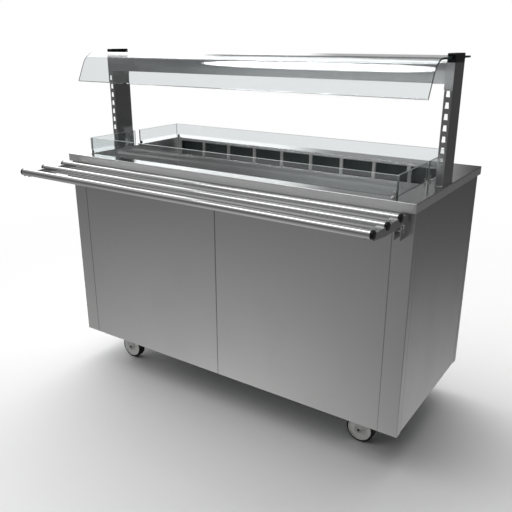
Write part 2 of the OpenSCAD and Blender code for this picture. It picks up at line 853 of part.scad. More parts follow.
// Arm: two sides joined by a top web with a fixing hole between each two tubes
module arm(s) {
    mid = (arm_x0 + arm_x1) / 2;
    color("#85878a") side(s) difference() {
        union() {
            along_x(arm_x0, arm_x0 + arm_t) arm_outline();
            along_x(arm_x1 - arm_t, arm_x1) arm_outline();
            box([arm_x0, arm_y0, arm_z1 - arm_t], [arm_x1, arm_y1 - arm_r, arm_z1]);
        }
        for (y = tube_y) bar_x(tube_r, arm_x0 - cut, arm_x1 + cut, y, tube_z);
        for (i = [0, 1]) translate([mid, (tube_y[i] + tube_y[i + 1]) / 2, arm_z1 - arm_t - cut])
            cylinder(r = hole_r, h = arm_t + cut + cut);
    }
}

// Wall brackets: channels that stand between the arms' sides
module wall_brackets() {
    color("#6e7072") for (s = [-1, 1]) side(s) difference() {
        box([bracket_x0, bracket_y0, bracket_z0], [bracket_x1, body_front, bracket_z1]);
        box([bracket_x0 + bracket_t, bracket_y0 - cut, bracket_z0 - cut],
            [bracket_x1 - bracket_t, body_front - bracket_t, bracket_z1 + cut]);
        bar_x(pivot_r + run_fit, bracket_x0 - cut, bracket_x1 + cut, pivot_y, pivot_z);
        bar_x(stop_r + run_fit, bracket_x0 - cut, bracket_x1 + cut, stop_y, stop_z);
    }
}

// Pivot bolts through arms and brackets, and stop bolts through the brackets
module pivot_bolts() {
    x0 = arm_x0 - set_gap;
    x1 = arm_x1 + set_gap;
    color("#9c9ea0") for (s = [-1, 1]) side(s) {
        bar_x(pivot_r, x0 - pivot_head_t, x1 + pivot_head_t, pivot_y, pivot_z);
        bar_x(pivot_head_r, x1, x1 + pivot_head_t, pivot_y, pivot_z);
        bar_x(pivot_head_r, x0 - pivot_head_t, x0, pivot_y, pivot_z);
        bar_x(stop_r, bracket_x0 - arm_t, bracket_x1 + arm_t, stop_y, stop_z);
        bar_x(stop_r + stop_r / 2, bracket_x1, bracket_x1 + arm_t, stop_y, stop_z);
        bar_x(stop_r + stop_r / 2, bracket_x0 - arm_t, bracket_x0, stop_y, stop_z);
    }
}

// Places its children at castor number i, turned the way it trails
module at_castor(i) {
    translate([castors[i][0], castors[i][1], 0]) rotate([0, 0, castors[i][2]]) children();
}

// Top plates with the upper half of the swivel race and the king pin
module castor_plates() {
    head_r = king_r + leg_t;
    color("#b4b6b8") for (i = [0:3]) at_castor(i) {
        translate([-plate_l / 2, -plate_w / 2, castor_plate_z]) cube([plate_l, plate_w, castor_plate_t]);
        translate([0, 0, crown_z + set_gap]) cylinder(r = race_r, h = race_h);
        translate([0, 0, king_end]) cylinder(r = king_r, h = castor_plate_z - king_end);
        translate([0, 0, king_end - leg_gap]) cylinder(r = head_r, h = leg_gap + leg_gap - set_gap);
    }
}

// Outline of a fork's leg, from the crown down to the axle; ear is its reach at the top
module leg_outline(ear) {
    top = crown_z;
    polygon([[-race_r, top], [ear, top], [ear, top - leg_r],
        [trail + leg_r, wheel_r], [trail - leg_r, wheel_r], [-race_r, top - leg_r]]);
    translate([trail, wheel_r]) circle(r = leg_r);
}

// Fork: two legs under a crown plate, with its axle; braked forks carry a brake pin
module fork(i, braked) {
    ear = braked ? brake_out + leg_r / 2 : trail + leg_r;
    crown_x = braked ? trail - leg_r : trail;
    color("#b9bbbd") at_castor(i) {
        difference() {
            union() {
                for (y = [-leg_out, leg_in])
                    translate([0, y + leg_t, 0]) rotate([90, 0, 0]) linear_extrude(leg_t)
                        leg_outline(ear);
                box([-race_r, -leg_out, crown_z - leg_t], [crown_x, leg_out, crown_z]);
            }
            translate([0, 0, crown_z - leg_t - cut]) cylinder(r = king_r + run_fit, h = leg_t + cut + cut);
        }
        bar_y(axle_r, -leg_out - leg_t, leg_out + leg_t, trail, wheel_r);
        if (braked) bar_y(brake_pin_r, -leg_out, leg_out, brake_out, brake_z);
    }
}
module front_left_fork() {
    fork(0, false);
}
module front_right_fork() {
    fork(1, false);
}
module rear_left_fork() {
    fork(2, true);
}
module rear_right_fork() {
    fork(3, true);
}

// Wheel: a dished centre with a bored hub
module wheel(i) {
    rim_r = wheel_r - tread_t;
    hub_r = 2 * axle_r + leg_gap;
    at_castor(i) translate([trail, wheel_w / 2, wheel_r]) rotate([90, 0, 0])
        color("#b3b5b6") difference() {
            cylinder(r = rim_r, h = wheel_w, $fn = 96);
            translate([0, 0, -cut]) cylinder(r = axle_r + run_fit, h = wheel_w + cut + cut);
            for (z = [-cut, wheel_w - dish]) translate([0, 0, z]) difference() {
                cylinder(r = rim_r - tread_t / 2, h = dish + cut, $fn = 96);
                translate([0, 0, -cut]) cylinder(r = hub_r, h = dish + 3 * cut);
            }
        }
}
module front_left_wheel() {
    wheel(0);
}
module front_right_wheel() {
    wheel(1);
}
module rear_left_wheel() {
    wheel(2);
}
module rear_right_wheel() {
    wheel(3);
}

// Tyre: a ring with stepped shoulders, seated on the wheel
module tyre(i) {
    rim_r = wheel_r - tread_t;
    at_castor(i) translate([trail, wheel_w / 2, wheel_r]) rotate([90, 0, 0])
        color("#1a1a1b") rotate_extrude($fn = 96) {
            translate([rim_r, leg_t / 2]) square([tread_t - leg_t, wheel_w - leg_t]);
            translate([rim_r, leg_t]) square([tread_t, wheel_w - 2 * leg_t]);
        }
}
module front_left_tyre() {
    tyre(0);
}
module front_right_tyre() {
    tyre(1);
}
module rear_left_tyre() {
    tyre(2);
}
module rear_right_tyre() {
    tyre(3);
}

// Brake: a pad under the pivot, ready to press on the tread, and a pedal
module brake(i) {
    half = leg_in - leg_gap;
    dx = brake_out - trail;
    reach_to = sqrt(dx * dx + brake_up * brake_up) - wheel_r - pad_gap;
    lean = atan(dx / brake_up);
    boss_r = brake_pin_r + pedal_t / 2;
    side = half - boss_out;
    color("#2b2d2f") at_castor(i) difference() {
        union() {
            bar_y(boss_r, -half, half, brake_out, brake_z);
            translate([brake_out, -side, brake_z]) rotate([0, lean, 0])
                translate([-pad_w / 2, 0, -reach_to]) cube([pad_w, 2 * side, reach_to]);
            translate([brake_out, -side, brake_z - pedal_t / 2]) cube([pedal_l, 2 * side, pedal_t]);
        }
        bar_y(brake_pin_r + run_fit, -half - cut, half + cut, brake_out, brake_z);
    }
}
module left_brake() {
    brake(2);
}
module right_brake() {
    brake(3);
}

// Door: a folded pan with a bush at each hinge pin and a bent pull; x is its hinge edge
module door(x0, x1, pin_x, pull_x) {
    bush = hinge_l + sheet;
    color("#9a9c9d") {
        difference() {
            union() {
                difference() {
                    box([x0, body_back - door_t, door_z0], [x1, body_back, door_z1]);
                    box([x0 + sheet, body_back - door_t - cut, door_z0 + sheet],
                        [x1 - sheet, body_back - sheet, door_z1 - sheet]);
                }
                for (z = [door_z0, door_z1 - bush])
                    box([max(x0, pin_x - hinge_in), body_back - door_t, z],
                        [min(x1, pin_x + hinge_in), body_back, z + bush]);
            }
            for (z = [door_z0 - cut, door_z1 - hinge_l])
                translate([pin_x, hinge_y, z]) cylinder(r = hinge_r + run_fit, h = hinge_l + cut);
        }
        difference() {
            box([pull_x - pull_t, body_back, (door_z0 + door_z1 - pull_l) / 2],
                [pull_x + pull_t, body_back + pull_out, (door_z0 + door_z1 + pull_l) / 2]);
            box([pull_x - pull_t - cut, body_back, (door_z0 + door_z1 - pull_l) / 2 + pull_t],
                [pull_x + pull_t + cut, body_back + pull_out - pull_t,
                    (door_z0 + door_z1 + pull_l) / 2 - pull_t]);
        }
    }
}
module left_door() {
    door(door_x0, door_x0 + door_w, hinge_x[0], door_x0 + door_w - pull_in);
}
module right_door() {
    door(door_x1 - door_w, door_x1, hinge_x[1], door_x1 - door_w + pull_in);
}

// Hinge pins that stand on the base tray and hang from the control panel
module door_pins() {
    color("#b9bbbc") for (x = hinge_x) {
        translate([x, hinge_y, rim_z]) cylinder(r = hinge_r, h = door_z0 - rim_z + hinge_l - seam);
        translate([x, hinge_y, door_z1 - hinge_l + seam])
            cylinder(r = hinge_r, h = fascia_z - door_z1 + hinge_l - seam);
    }
}

// Louvre panel over the plant, with a hole for the mains gland
gland_x = -panel_x + 3 * gland_r;
gland_z = rim_z + 3 * gland_r;
module louvre_panel() {
    x1 = mullion_x - mullion_w / 2 - seam;
    mid = (-panel_x + x1) / 2;
    back_in = body_back - sheet;
    color("#8c8e8f") difference() {
        union() {
            box([-panel_x, back_in, rim_z], [x1, body_back, fascia_z - seam]);
            for (i = [0:louvres - 1])
                translate([0, 0, rim_z + louvre_start + i * louvre_pitch])
                    along_x(mid - louvre_l / 2, mid + louvre_l / 2)
                        polygon([[back_in, louvre_h + sheet], [body_back, louvre_h + sheet],
                            [body_back + louvre_h, sheet], [body_back + louvre_h, 0], [back_in, 0]]);
        }
        for (i = [0:louvres - 1])
            translate([0, 0, rim_z + louvre_start + i * louvre_pitch])
                along_x(mid - louvre_l / 2 + sheet, mid + louvre_l / 2 - sheet)
                    polygon([[back_in - cut, louvre_h], [body_back, louvre_h],
                        [body_back + louvre_h - sheet, 0], [body_back + louvre_h - sheet, -cut],
                        [body_back, -cut], [body_back, 0], [back_in - cut, 0]]);
        bar_y(thread_r + set_gap, back_in - cut, body_back + cut, gland_x, gland_z);
    }
}

// Mains gland: a sleeve through the louvre panel with a flange and a nut
module mains_gland() {
    nut_y = body_back - sheet - gland_r / 2;
    color("#161718") difference() {
        union() {
            bar_y(gland_r, body_back, body_back + gland_l, gland_x, gland_z);
            bar_y(thread_r, nut_y, body_back + cut, gland_x, gland_z);
            bar_y(gland_r, nut_y, body_back - sheet, gland_x, gland_z);
        }
        bar_y(thread_r / 2, nut_y - cut, body_back + gland_l + cut, gland_x, gland_z);
    }
}

// Control panel above the doors, with windows for the thermostat and the switch
module control_panel() {
    sw = rocker_w / 2 + switch_rim + set_gap;
    sh = rocker_h / 2 + switch_rim + set_gap;
    color("#9a9c9d") difference() {
        union() {
            box([-panel_x, body_back - sheet, fascia_z], [panel_x, body_back, body_top]);
            box([-panel_x, body_back - fascia_fold, fascia_z], [panel_x, body_back, fascia_z + sheet]);
            box([-panel_x, body_back - fascia_fold, body_top - sheet], [panel_x, body_back, body_top]);
        }
        box([thermo_mid - thermo_w / 2, body_back - sheet - cut, control_z - thermo_h / 2],
            [thermo_mid + thermo_w / 2, body_back + cut, control_z + thermo_h / 2]);
        box([switch_mid - sw, body_back - sheet - cut, control_z - sh],
            [switch_mid + sw, body_back + cut, control_z + sh]);
    }
}

// Thermostat: a body behind the control panel and a rim in front of it
module thermostat() {
    w = thermo_w / 2 - set_gap;
    h = thermo_h / 2 - set_gap;
    rim = thermo_rim + set_gap;
    color("#141516") {
        box([thermo_mid - w, body_back - thermo_d, control_z - h],
            [thermo_mid + w, body_back + sheet, control_z + h]);
        box([thermo_mid - w - rim, body_back, control_z - h - rim],
            [thermo_mid + w + rim, body_back + sheet, control_z + h + rim]);
    }
}

// Housing of the power switch: a sleeve with a rim on the control panel's face
module switch_housing() {
    sw = rocker_w / 2 + set_gap;
    sh = rocker_h / 2 + set_gap;
    rim = switch_rim;
    color("#161718") difference() {
        union() {
            box([switch_mid - sw - rim + set_gap, body_back - rocker_r, control_z - sh - rim + set_gap],
                [switch_mid + sw + rim - set_gap, body_back + sheet, control_z + sh + rim - set_gap]);
            box([switch_mid - sw - 2 * rim, body_back, control_z - sh - 2 * rim],
                [switch_mid + sw + 2 * rim, body_back + sheet, control_z + sh + 2 * rim]);
        }
        box([switch_mid - sw, body_back - rocker_r - cut, control_z - sh],
            [switch_mid + sw, body_back + sheet + cut, control_z + sh]);
        bar_x(rocker_pin_r + run_fit, switch_mid - sw - sheet, switch_mid + sw + sheet,
            body_back - sheet, control_z);
    }
}

// Rocker of the power switch: a shallow wedge on its pivot pins, tilted to its off side
module power_switch() {
    w = rocker_w / 2;
    h = rocker_h / 2 - sheet;
    pin = w + sheet;
    color("#1f6b3a") translate([0, body_back - sheet, control_z]) rotate([rocker_tilt, 0, 0]) {
        along_x(switch_mid - w, switch_mid + w) {
            circle(r = rocker_r - 2 * sheet);
            polygon([[0, -h], [3 * sheet, -h], [2 * sheet, 0], [3 * sheet, h], [0, h]]);
        }
        bar_x(rocker_pin_r, switch_mid - pin, switch_mid + pin, 0, 0);
    }
}

// Compressor: a round shell on a foot plate
module compressor() {
    x = -body_x + comp_x;
    y = body_front + comp_y;
    foot = comp_r - leg_r;
    color("#1d1f20") {
        translate([x, y, cond_z + foot_t]) cylinder(r = comp_r, h = comp_h);
        translate([x, y, cond_z + foot_t + comp_h]) cylinder(r1 = comp_r, r2 = comp_r / 2, h = comp_r / 2);
        translate([x - foot, y - comp_r - leg_r, cond_z]) cube([2 * foot, 2 * (comp_r + leg_r), foot_t]);
    }
}

// Condenser: a finned block behind the louvres
module condenser() {
    x0 = cond_x - cond_l / 2;
    fins = floor(cond_l / fin_pitch) - 1;
    y0 = cond_y1 - cond_d;
    color("#4a4e50") {
        box([x0, y0 + fin_t, cond_z + fin_t], [x0 + cond_l, cond_y1 - fin_t, cond_z + cond_h - fin_t]);
        for (i = [0:fins])
            translate([x0 + i * fin_pitch, y0, cond_z]) cube([fin_t, cond_d, cond_h]);
    }
}

// Fan motor on its stand, with its shaft
module fan_motor() {
    motor_y = fan_y - foam_t;
    color("#6a6d70") {
        bar_y(motor_r, motor_y - motor_l, motor_y, cond_x, fan_z);
        bar_y(shaft_r, motor_y - sheet, fan_y, cond_x, fan_z);
        box([cond_x - fin_pitch, motor_y - motor_l, cond_z],
            [cond_x + fin_pitch, motor_y - leg_r, fan_z]);
        box([cond_x - motor_r, motor_y - motor_l, cond_z],
            [cond_x + motor_r, motor_y, cond_z + foot_t]);
    }
}

// Fan: pitched blades round a bored hub on the motor's shaft
module fan() {
    hub_l = foam_t - 3 * shaft_r;
    y0 = fan_y - hub_l - shaft_r;
    hub_r = 3 * shaft_r;
    color("#c3c5c6") difference() {
        union() {
            bar_y(hub_r, y0, y0 + hub_l, cond_x, fan_z);
            for (i = [0:blades - 1])
                translate([cond_x, y0 + hub_l / 2, fan_z]) rotate([0, i * 360 / blades, 0])
                    translate([hub_r / 2, 0, 0]) rotate([blade_pitch, 0, 0])
                        translate([0, -sheet / 2, -blade_w / 2]) cube([fan_r - hub_r, sheet, blade_w]);
        }
        bar_y(shaft_r + run_fit, y0 - foam_t, y0 + foam_t, cond_x, fan_z);
    }
}

base_tray();
corner_posts();
front_panel(-1);  // front_left_panel
front_panel(1);  // front_right_panel
end_panel(-1);  // left_end_panel
end_panel(1);  // right_end_panel
bulkhead();
worktop();
well_tank();
well_insulation();
air_duct();
air_grille();
evaporator();
drain_pipe();
cross_pane(well_y0, -1);  // front_glass
cross_pane(well_y1, 1);  // rear_glass
side_glass();
glass_clips();
left_upright();
right_upright();
canopy_beam();
post_caps();
canopy_glass();
canopy_screws();
front_tube();
middle_tube();
rear_tube();
tube_plugs();
arm(-1);  // left_arm
arm(1);  // right_arm
wall_brackets();
pivot_bolts();
castor_plates();
front_left_fork();
front_right_fork();
rear_left_fork();
rear_right_fork();
front_left_wheel();
front_right_wheel();
rear_left_wheel();
rear_right_wheel();
front_left_tyre();
front_right_tyre();
rear_left_tyre();
rear_right_tyre();
left_brake();
right_brake();
left_door();
right_door();
door_pins();
louvre_panel();
mains_gland();
control_panel();
thermostat();
switch_housing();
power_switch();
compressor();
condenser();
fan_motor();
fan();
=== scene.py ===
import json
import logging
import math
from dataclasses import dataclass
from enum import Enum
from functools import cache
from typing import Sequence

import bmesh
import bpy
import numpy as np
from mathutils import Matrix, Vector


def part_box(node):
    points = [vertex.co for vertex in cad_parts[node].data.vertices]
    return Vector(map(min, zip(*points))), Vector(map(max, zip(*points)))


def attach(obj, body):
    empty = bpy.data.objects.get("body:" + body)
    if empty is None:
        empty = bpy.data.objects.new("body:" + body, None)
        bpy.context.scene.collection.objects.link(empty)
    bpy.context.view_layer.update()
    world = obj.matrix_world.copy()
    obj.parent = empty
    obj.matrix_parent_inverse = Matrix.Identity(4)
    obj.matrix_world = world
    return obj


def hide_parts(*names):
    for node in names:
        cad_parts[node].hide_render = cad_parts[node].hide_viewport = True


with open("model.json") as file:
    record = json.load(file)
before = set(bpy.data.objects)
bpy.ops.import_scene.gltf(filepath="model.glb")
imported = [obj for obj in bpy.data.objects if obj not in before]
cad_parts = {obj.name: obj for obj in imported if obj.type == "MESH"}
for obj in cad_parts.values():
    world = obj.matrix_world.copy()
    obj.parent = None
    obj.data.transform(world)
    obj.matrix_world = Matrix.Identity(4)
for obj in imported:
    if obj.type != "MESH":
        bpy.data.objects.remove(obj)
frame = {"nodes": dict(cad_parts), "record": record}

log = logging.getLogger("salad_bar")
MM = 0.001
OVERLAP = 0.1 * MM  # how far the parts of one skin reach into each other
Triple = tuple[float, float, float]
Outline = list[tuple[float, float]]


class Grain(Enum):
    """The way the brushing of a steel piece runs."""

    ALONG = (3.0, 900.0, 900.0)
    ACROSS = (900.0, 3.0, 900.0)
    UP = (900.0, 900.0, 3.0)
    ROUND = (260.0, 260.0, 260.0)


class Axis(Enum):
    """An axis of the frame and the two that follow it."""

    X = (0, 1, 2)
    Y = (1, 2, 0)
    Z = (2, 0, 1)


# ---- shader maths

class Wire:
    """A value in a node tree that can be added, scaled and compared like a number."""

    def __init__(self, paint: "Paint", socket: bpy.types.NodeSocket) -> None:
        """Keeps the tree and the socket."""
        self.paint, self.socket = paint, socket

    def _math(self, operation: str, first: object, second: object) -> "Wire":
        """Adds one Math node.

        Args:
            operation: The node's operation.
            first: A wire or a number.
            second: A wire or a number.

        Returns:
            The node's value.
        """
        node = self.paint.node("ShaderNodeMath", {"operation": operation}, {0: first, 1: second})
        return Wire(self.paint, node.outputs[0])

    def __add__(self, other: object) -> "Wire":
        """Sum."""
        return self._math("ADD", self, other)

    def __radd__(self, other: object) -> "Wire":
        """Sum with the number first."""
        return self._math("ADD", other, self)

    def __sub__(self, other: object) -> "Wire":
        """Difference."""
        return self._math("SUBTRACT", self, other)

    def __rsub__(self, other: object) -> "Wire":
        """Difference with the number first."""
        return self._math("SUBTRACT", other, self)

    def __mul__(self, other: object) -> "Wire":
        """Product."""
        return self._math("MULTIPLY", self, other)

    def __rmul__(self, other: object) -> "Wire":
        """Product with the number first."""
        return self._math("MULTIPLY", other, self)

    def __truediv__(self, other: object) -> "Wire":
        """Quotient."""
        return self._math("DIVIDE", self, other)

    def __rpow__(self, other: object) -> "Wire":
        """Power of a number."""
        return self._math("POWER", other, self)

    def turn(self, other: object) -> "Wire":
        """The angle whose tangent is this over the other."""
        return self._math("ARCTAN2", self, other)

    def above(self, limit: float, soft: float) -> "Wire":
        """A smooth step.

        Args:
            limit: The value at which the step is half way.
            soft: Half the width of the step.

        Returns:
            0 below the step and 1 above it.
        """
        node = self.paint.node(
            "ShaderNodeMapRange", {"interpolation_type": "SMOOTHSTEP"},
            {0: self, 1: limit - soft, 2: limit + soft, 3: 0.0, 4: 1.0})
        return Wire(self.paint, node.outputs[0])


class Paint:
    """The node tree of one material or of the world."""

    def __init__(self, tree: bpy.types.NodeTree) -> None:
        """Empties the tree."""
        self.tree = tree
        tree.nodes.clear()

    @classmethod
    def material(cls, name: str) -> tuple["Paint", bpy.types.Material]:
        """Makes a material with an empty tree.

        Args:
            name: The material's name.

        Returns:
            Its tree and the material.
        """
        made = bpy.data.materials.new(name)
        made.use_nodes = True
        return cls(made.node_tree), made

    def node(self, kind: str, settings: dict | None = None, values: dict | None = None) -> bpy.types.Node:
        """Adds any node.

        Args:
            kind: The node's type.
            settings: Properties of the node, set first.
            values: Socket name or number against a value, a wire or a socket.

        Returns:
            The node.
        """
        node = self.tree.nodes.new(kind)
        for name, value in (settings or {}).items():
            setattr(node, name, value)
        for name, value in (values or {}).items():
            socket = node.inputs[name]
            if isinstance(value, Wire):
                self.tree.links.new(value.socket, socket)
            elif isinstance(value, bpy.types.NodeSocket):
                self.tree.links.new(value, socket)
            elif isinstance(value, tuple) and len(value) == 3 and socket.type == "RGBA":
                socket.default_value = (*value, 1.0)
            else:
                socket.default_value = value
        return node

    def place(self) -> bpy.types.NodeSocket:
        """The point on the piece, in metres in the shared frame."""
        return self.node("ShaderNodeTexCoord").outputs["Object"]

    def noise(self, scale: Sequence[float], detail: float = 3.0, rough: float = 0.55) -> Wire:
        """Cloudy noise, stretched by its scale.

        Args:
            scale: Waves per metre along X, Y and Z.
            detail: Octaves.
            rough: Weight of the finer octaves.

        Returns:
            Values about 0.5.
        """
        mapped = self.node("ShaderNodeMapping", {"vector_type": "POINT"},
                           {"Vector": self.place(), "Scale": tuple(scale)})
        node = self.node("ShaderNodeTexNoise", None,
                         {"Vector": mapped.outputs[0], "Scale": 1.0, "Detail": detail, "Roughness": rough})
        return Wire(self, node.outputs["Fac"])

    def along(self, axis: int) -> Wire:
        """One coordinate of the point, in metres."""
        split = self.node("ShaderNodeSeparateXYZ", None, {0: self.place()})
        return Wire(self, split.outputs[axis])

    def mix(self, share: object, low: object, high: object) -> bpy.types.NodeSocket:
        """Mixes two colours.

        Args:
            share: 0 for the first colour and 1 for the second.
            low: The first colour.
            high: The second colour.

        Returns:
            The mixed colour.
        """
        node = self.node("ShaderNodeMix", {"data_type": "RGBA"}, {0: share, 6: low, 7: high})
        return node.outputs[2]

    def bump(self, height: Wire, strength: float, distance: float) -> bpy.types.NodeSocket:
        """Turns a height into a normal; distance is in metres."""
        return self.node("ShaderNodeBump", None,
                         {"Height": height, "Strength": strength, "Distance": distance}).outputs[0]

    def views(self) -> tuple[Wire, Wire, Wire]:
        """How a ray comes to a surface.

        Glass counts as glossy too, so a ray is seen through it only where nothing has turned it.

        Returns:
            1 for a ray that comes straight or through glass, 1 for one that a shiny face turned,
            and 1 for one whose last face was perfectly clear.
        """
        path = self.node("ShaderNodeLightPath")
        camera, shiny, glass, clear, turns = (
            Wire(self, path.outputs[name])
            for name in ("Is Camera Ray", "Is Glossy Ray", "Is Transmission Ray", "Is Singular Ray", "Glossy Depth"))
        through = glass * (1.0 - turns.above(0.5, 0.1))
        return camera + through, shiny * (1.0 - through), clear

    def surface(self, **values: object) -> None:
        """Adds the shader and the output.

        Args:
            values: A value for each socket of the shader; its name has _ for a space.
        """
        named = {name.replace("_", " "): value for name, value in values.items()}
        shader = self.node("ShaderNodeBsdfPrincipled", None, named)
        self.node("ShaderNodeOutputMaterial", None, {"Surface": shader.outputs[0]})


# ---- finishes

@dataclass(frozen=True)
class Finish:
    """The finish of a surface. Each kind lays a shader of its own."""

    name: str

    def lay(self, paint: Paint) -> None:
        """Lays the shader in the material's empty tree."""
        raise NotImplementedError


@cache
def material_of(finish: Finish) -> bpy.types.Material:
    """The material of a finish, made when a piece first takes it.

    Args:
        finish: The finish.

    Returns:
        The material.
    """
    paint, made = Paint.material(finish.name)
    finish.lay(paint)
    return made


@dataclass(frozen=True)
class BrushedSteel(Finish):
    """Stainless sheet: fine brushing, faint smears, scuffs near the floor."""

    grain: Grain
    tone: float = 0.42
    rough: float = 0.3
    relief: float = 0.012
    smear: float = 0.04
    scuffs: bool = False
    scuff_z: float = 0.24
    scuff_fade: float = 0.11
    # height below which painted light makes the metal paler
    fold: float | None = None

    def lay(self, paint: Paint) -> None:
        """Lays the shader: tone and roughness follow a noise stretched along the grain.

        Below the height fold, the metal is paler and duller; the paler tone is painted light on the worktop's
        turned-down edge.

        Args:
            paint: The material's tree.
        """
        grain = paint.noise(self.grain.value, 4.0, 0.65)
        broad = paint.noise((2.2, 2.2, 3.1), 2.0, 0.5)
        smear = paint.noise((7.0, 9.0, 5.0), 5.0, 0.6).above(0.56, 0.12)
        dark = tuple(self.tone * k * 0.93 for k in (0.995, 1.0, 1.0))
        light = tuple(self.tone * k * 1.07 for k in (1.0, 1.0, 0.992))
        colour = paint.mix(grain * 0.6 + broad * 0.4, dark, light)
        rough = self.rough + (grain - 0.5) * (self.rough * 0.5) + smear * self.smear
        if self.scuffs:
            low = 1.0 - paint.along(2).above(self.scuff_z, self.scuff_fade)
            marks = paint.noise((26.0, 26.0, 90.0), 4.0, 0.7).above(0.62, 0.05) * low
            colour = paint.mix(marks * 0.12, colour, (self.tone * 0.6,) * 3)
            rough = rough + marks * 0.04
        # painted light: below the fold the tone is raised, as if the turned-down edge were lit, and the roughness
        # rises
        if self.fold:
            painted_light_below_fold = 1.0 - paint.along(2).above(self.fold, 0.8 * MM)
            colour = paint.mix(painted_light_below_fold, colour, (min(1.0, self.tone * 1.45),) * 3)
            rough = rough + painted_light_below_fold * 0.33
        paint.surface(Base_Color=colour, Metallic=1.0, Roughness=rough,
                      Normal=paint.bump(grain, self.relief, 0.0004))


@dataclass(frozen=True)
class ClearGlass(Finish):
    """Toughened float glass with a faint blue-green tint and a few dusty smears."""

    tint: Triple
    haze: float = 0.003

    def lay(self, paint: Paint) -> None:
        """Lays the shader: clear through and through, its roughness a trace of smears.

        Args:
            paint: The material's tree.
        """
        smear = paint.noise((5.0, 8.0, 6.0), 3.0, 0.5).above(0.62, 0.2)
        paint.surface(Base_Color=self.tint, Roughness=smear * self.haze, Transmission_Weight=1.0, IOR=1.5)


@dataclass(frozen=True)
class GroundEdge(Finish):
    """The ground edge of a glass pane: pale, frosted and a little green."""

    colour: Triple = (0.3, 0.35, 0.34)
    clear: float = 0.35

    def lay(self, paint: Paint) -> None:
        """Lays the shader: fine grinding marks over frosted glass.

        Args:
            paint: The material's tree.
        """
        marks = paint.noise((400.0,) * 3, 2.0, 0.6)
        light = tuple(c * 1.25 for c in self.colour)
        paint.surface(Base_Color=paint.mix(marks, self.colour, light), Roughness=0.3 + marks * 0.2,
                      Transmission_Weight=self.clear, IOR=1.5, Normal=paint.bump(marks, 0.05, 0.0002))


@dataclass(frozen=True)
class Moulded(Finish):
    """Moulded plastic or rubber with a fine texture and dust in its hollows."""

    colour: Triple
    rough: float = 0.42
    texture: float = 420.0
    relief: float = 0.12
    dust: float = 0.1
    coat: float = 0.0
    ior: float = 1.5

    def lay(self, paint: Paint) -> None:
        """Lays the shader: a pebbled bump, and broad noise that greys and dulls it.

        Args:
            paint: The material's tree.
        """
        pebble = paint.noise((self.texture,) * 3, 2.0, 0.5)
        dusty = paint.noise((18.0, 18.0, 25.0), 4.0, 0.6).above(0.58, 0.14)
        grey = tuple(min(1.0, c * 0.85 + 0.07) for c in self.colour)
        paint.surface(Base_Color=paint.mix(dusty * self.dust * 2.0, self.colour, grey),
                      Roughness=self.rough + dusty * self.dust + (pebble - 0.5) * 0.06,
                      Coat_Weight=self.coat, IOR=self.ior, Normal=paint.bump(pebble, self.relief, 0.0003))


@dataclass(frozen=True)
class Plated(Finish):
    """Zinc plate or galvanised sheet: a cool grey metal with soft cloudy patches."""

    colour: Triple
    rough: float = 0.38
    patches: float = 60.0

    def lay(self, paint: Paint) -> None:
        """Lays the shader: patches of a cell pattern shift its tone and roughness.

        Args:
            paint: The material's tree.
        """
        cells = paint.node("ShaderNodeTexVoronoi", {"feature": "F1"},
                           {"Vector": paint.place(), "Scale": self.patches})
        patch = Wire(paint, paint.node("ShaderNodeSeparateColor", None,
                                       {0: cells.outputs["Color"]}).outputs[0])
        fine = paint.noise((300.0,) * 3, 3.0, 0.6)
        dark, light = (tuple(c * k for c in self.colour) for k in (0.88, 1.08))
        paint.surface(Base_Color=paint.mix(patch * 0.6 + fine * 0.4, dark, light), Metallic=1.0,
                      Roughness=self.rough + patch * 0.1 + (fine - 0.5) * 0.12,
                      Normal=paint.bump(fine, 0.08, 0.0003))


@dataclass(frozen=True)
class Foam(Finish):
    """Cream insulating foam with small open cells."""

    def lay(self, paint: Paint) -> None:
        """Lays the shader: cells give the bump and a slight mottling.

        Args:
            paint: The material's tree.
        """
        cells = paint.node("ShaderNodeTexVoronoi", None, {"Vector": paint.place(), "Scale": 220.0})
        depth = Wire(paint, cells.outputs["Distance"])
        mottle = paint.noise((14.0,) * 3, 4.0, 0.6)
        paint.surface(Base_Color=paint.mix(mottle, (0.72, 0.63, 0.42), (0.84, 0.77, 0.56)),
                      Roughness=0.85 + mottle * 0.1, Normal=paint.bump(depth, 0.4, 0.002))


@dataclass(frozen=True)
class Lacquer(Finish):
    """Black paint over drawn steel, with dust and fine orange peel."""

    colour: Triple = (0.016, 0.017, 0.018)

    def lay(self, paint: Paint) -> None:
        """Lays the shader: a clear coat over a dark base that dust greys on top.

        Args:
            paint: The material's tree.
        """
        peel = paint.noise((160.0,) * 3, 2.0, 0.5)
        dust = paint.noise((20.0, 20.0, 8.0), 5.0, 0.6).above(0.55, 0.2)
        paint.surface(Base_Color=paint.mix(dust * 0.3, self.colour, (0.12, 0.115, 0.1)),
                      Roughness=0.28 + dust * 0.3, Coat_Weight=0.5 - dust * 0.4,
                      Normal=paint.bump(peel, 0.08, 0.0005))


PANEL = BrushedSteel("panel_steel", Grain.UP, 0.6, 0.3, scuffs=True)
# the deck's turned-down front edge takes painted light below the fold height
DECK = BrushedSteel("deck_steel", Grain.ALONG, 0.62, 0.15, 0.004, 0.02,
                    fold=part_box("worktop")[1].z - 2.4 * MM)
TANK = BrushedSteel("tank_steel", Grain.ALONG, 0.86, 0.36, 0.004, 0.02)
POST = BrushedSteel("post_steel", Grain.UP, 0.53, 0.2)
BEAM = BrushedSteel("beam_steel", Grain.ALONG, 0.56, 0.13, 0.003, 0.02)
TUBE = BrushedSteel("tube_steel", Grain.ALONG, 0.62, 0.045, 0.0, 0.01)
BRACKET = BrushedSteel("bracket_steel", Grain.ACROSS, 0.5, 0.26)
BRIGHT = BrushedSteel("bright_steel", Grain.ROUND, 0.75, 0.16, relief=0.01, smear=0.03)
ZINC = Plated("zinc_plate", (0.86, 0.86, 0.85), 0.4, 90.0)
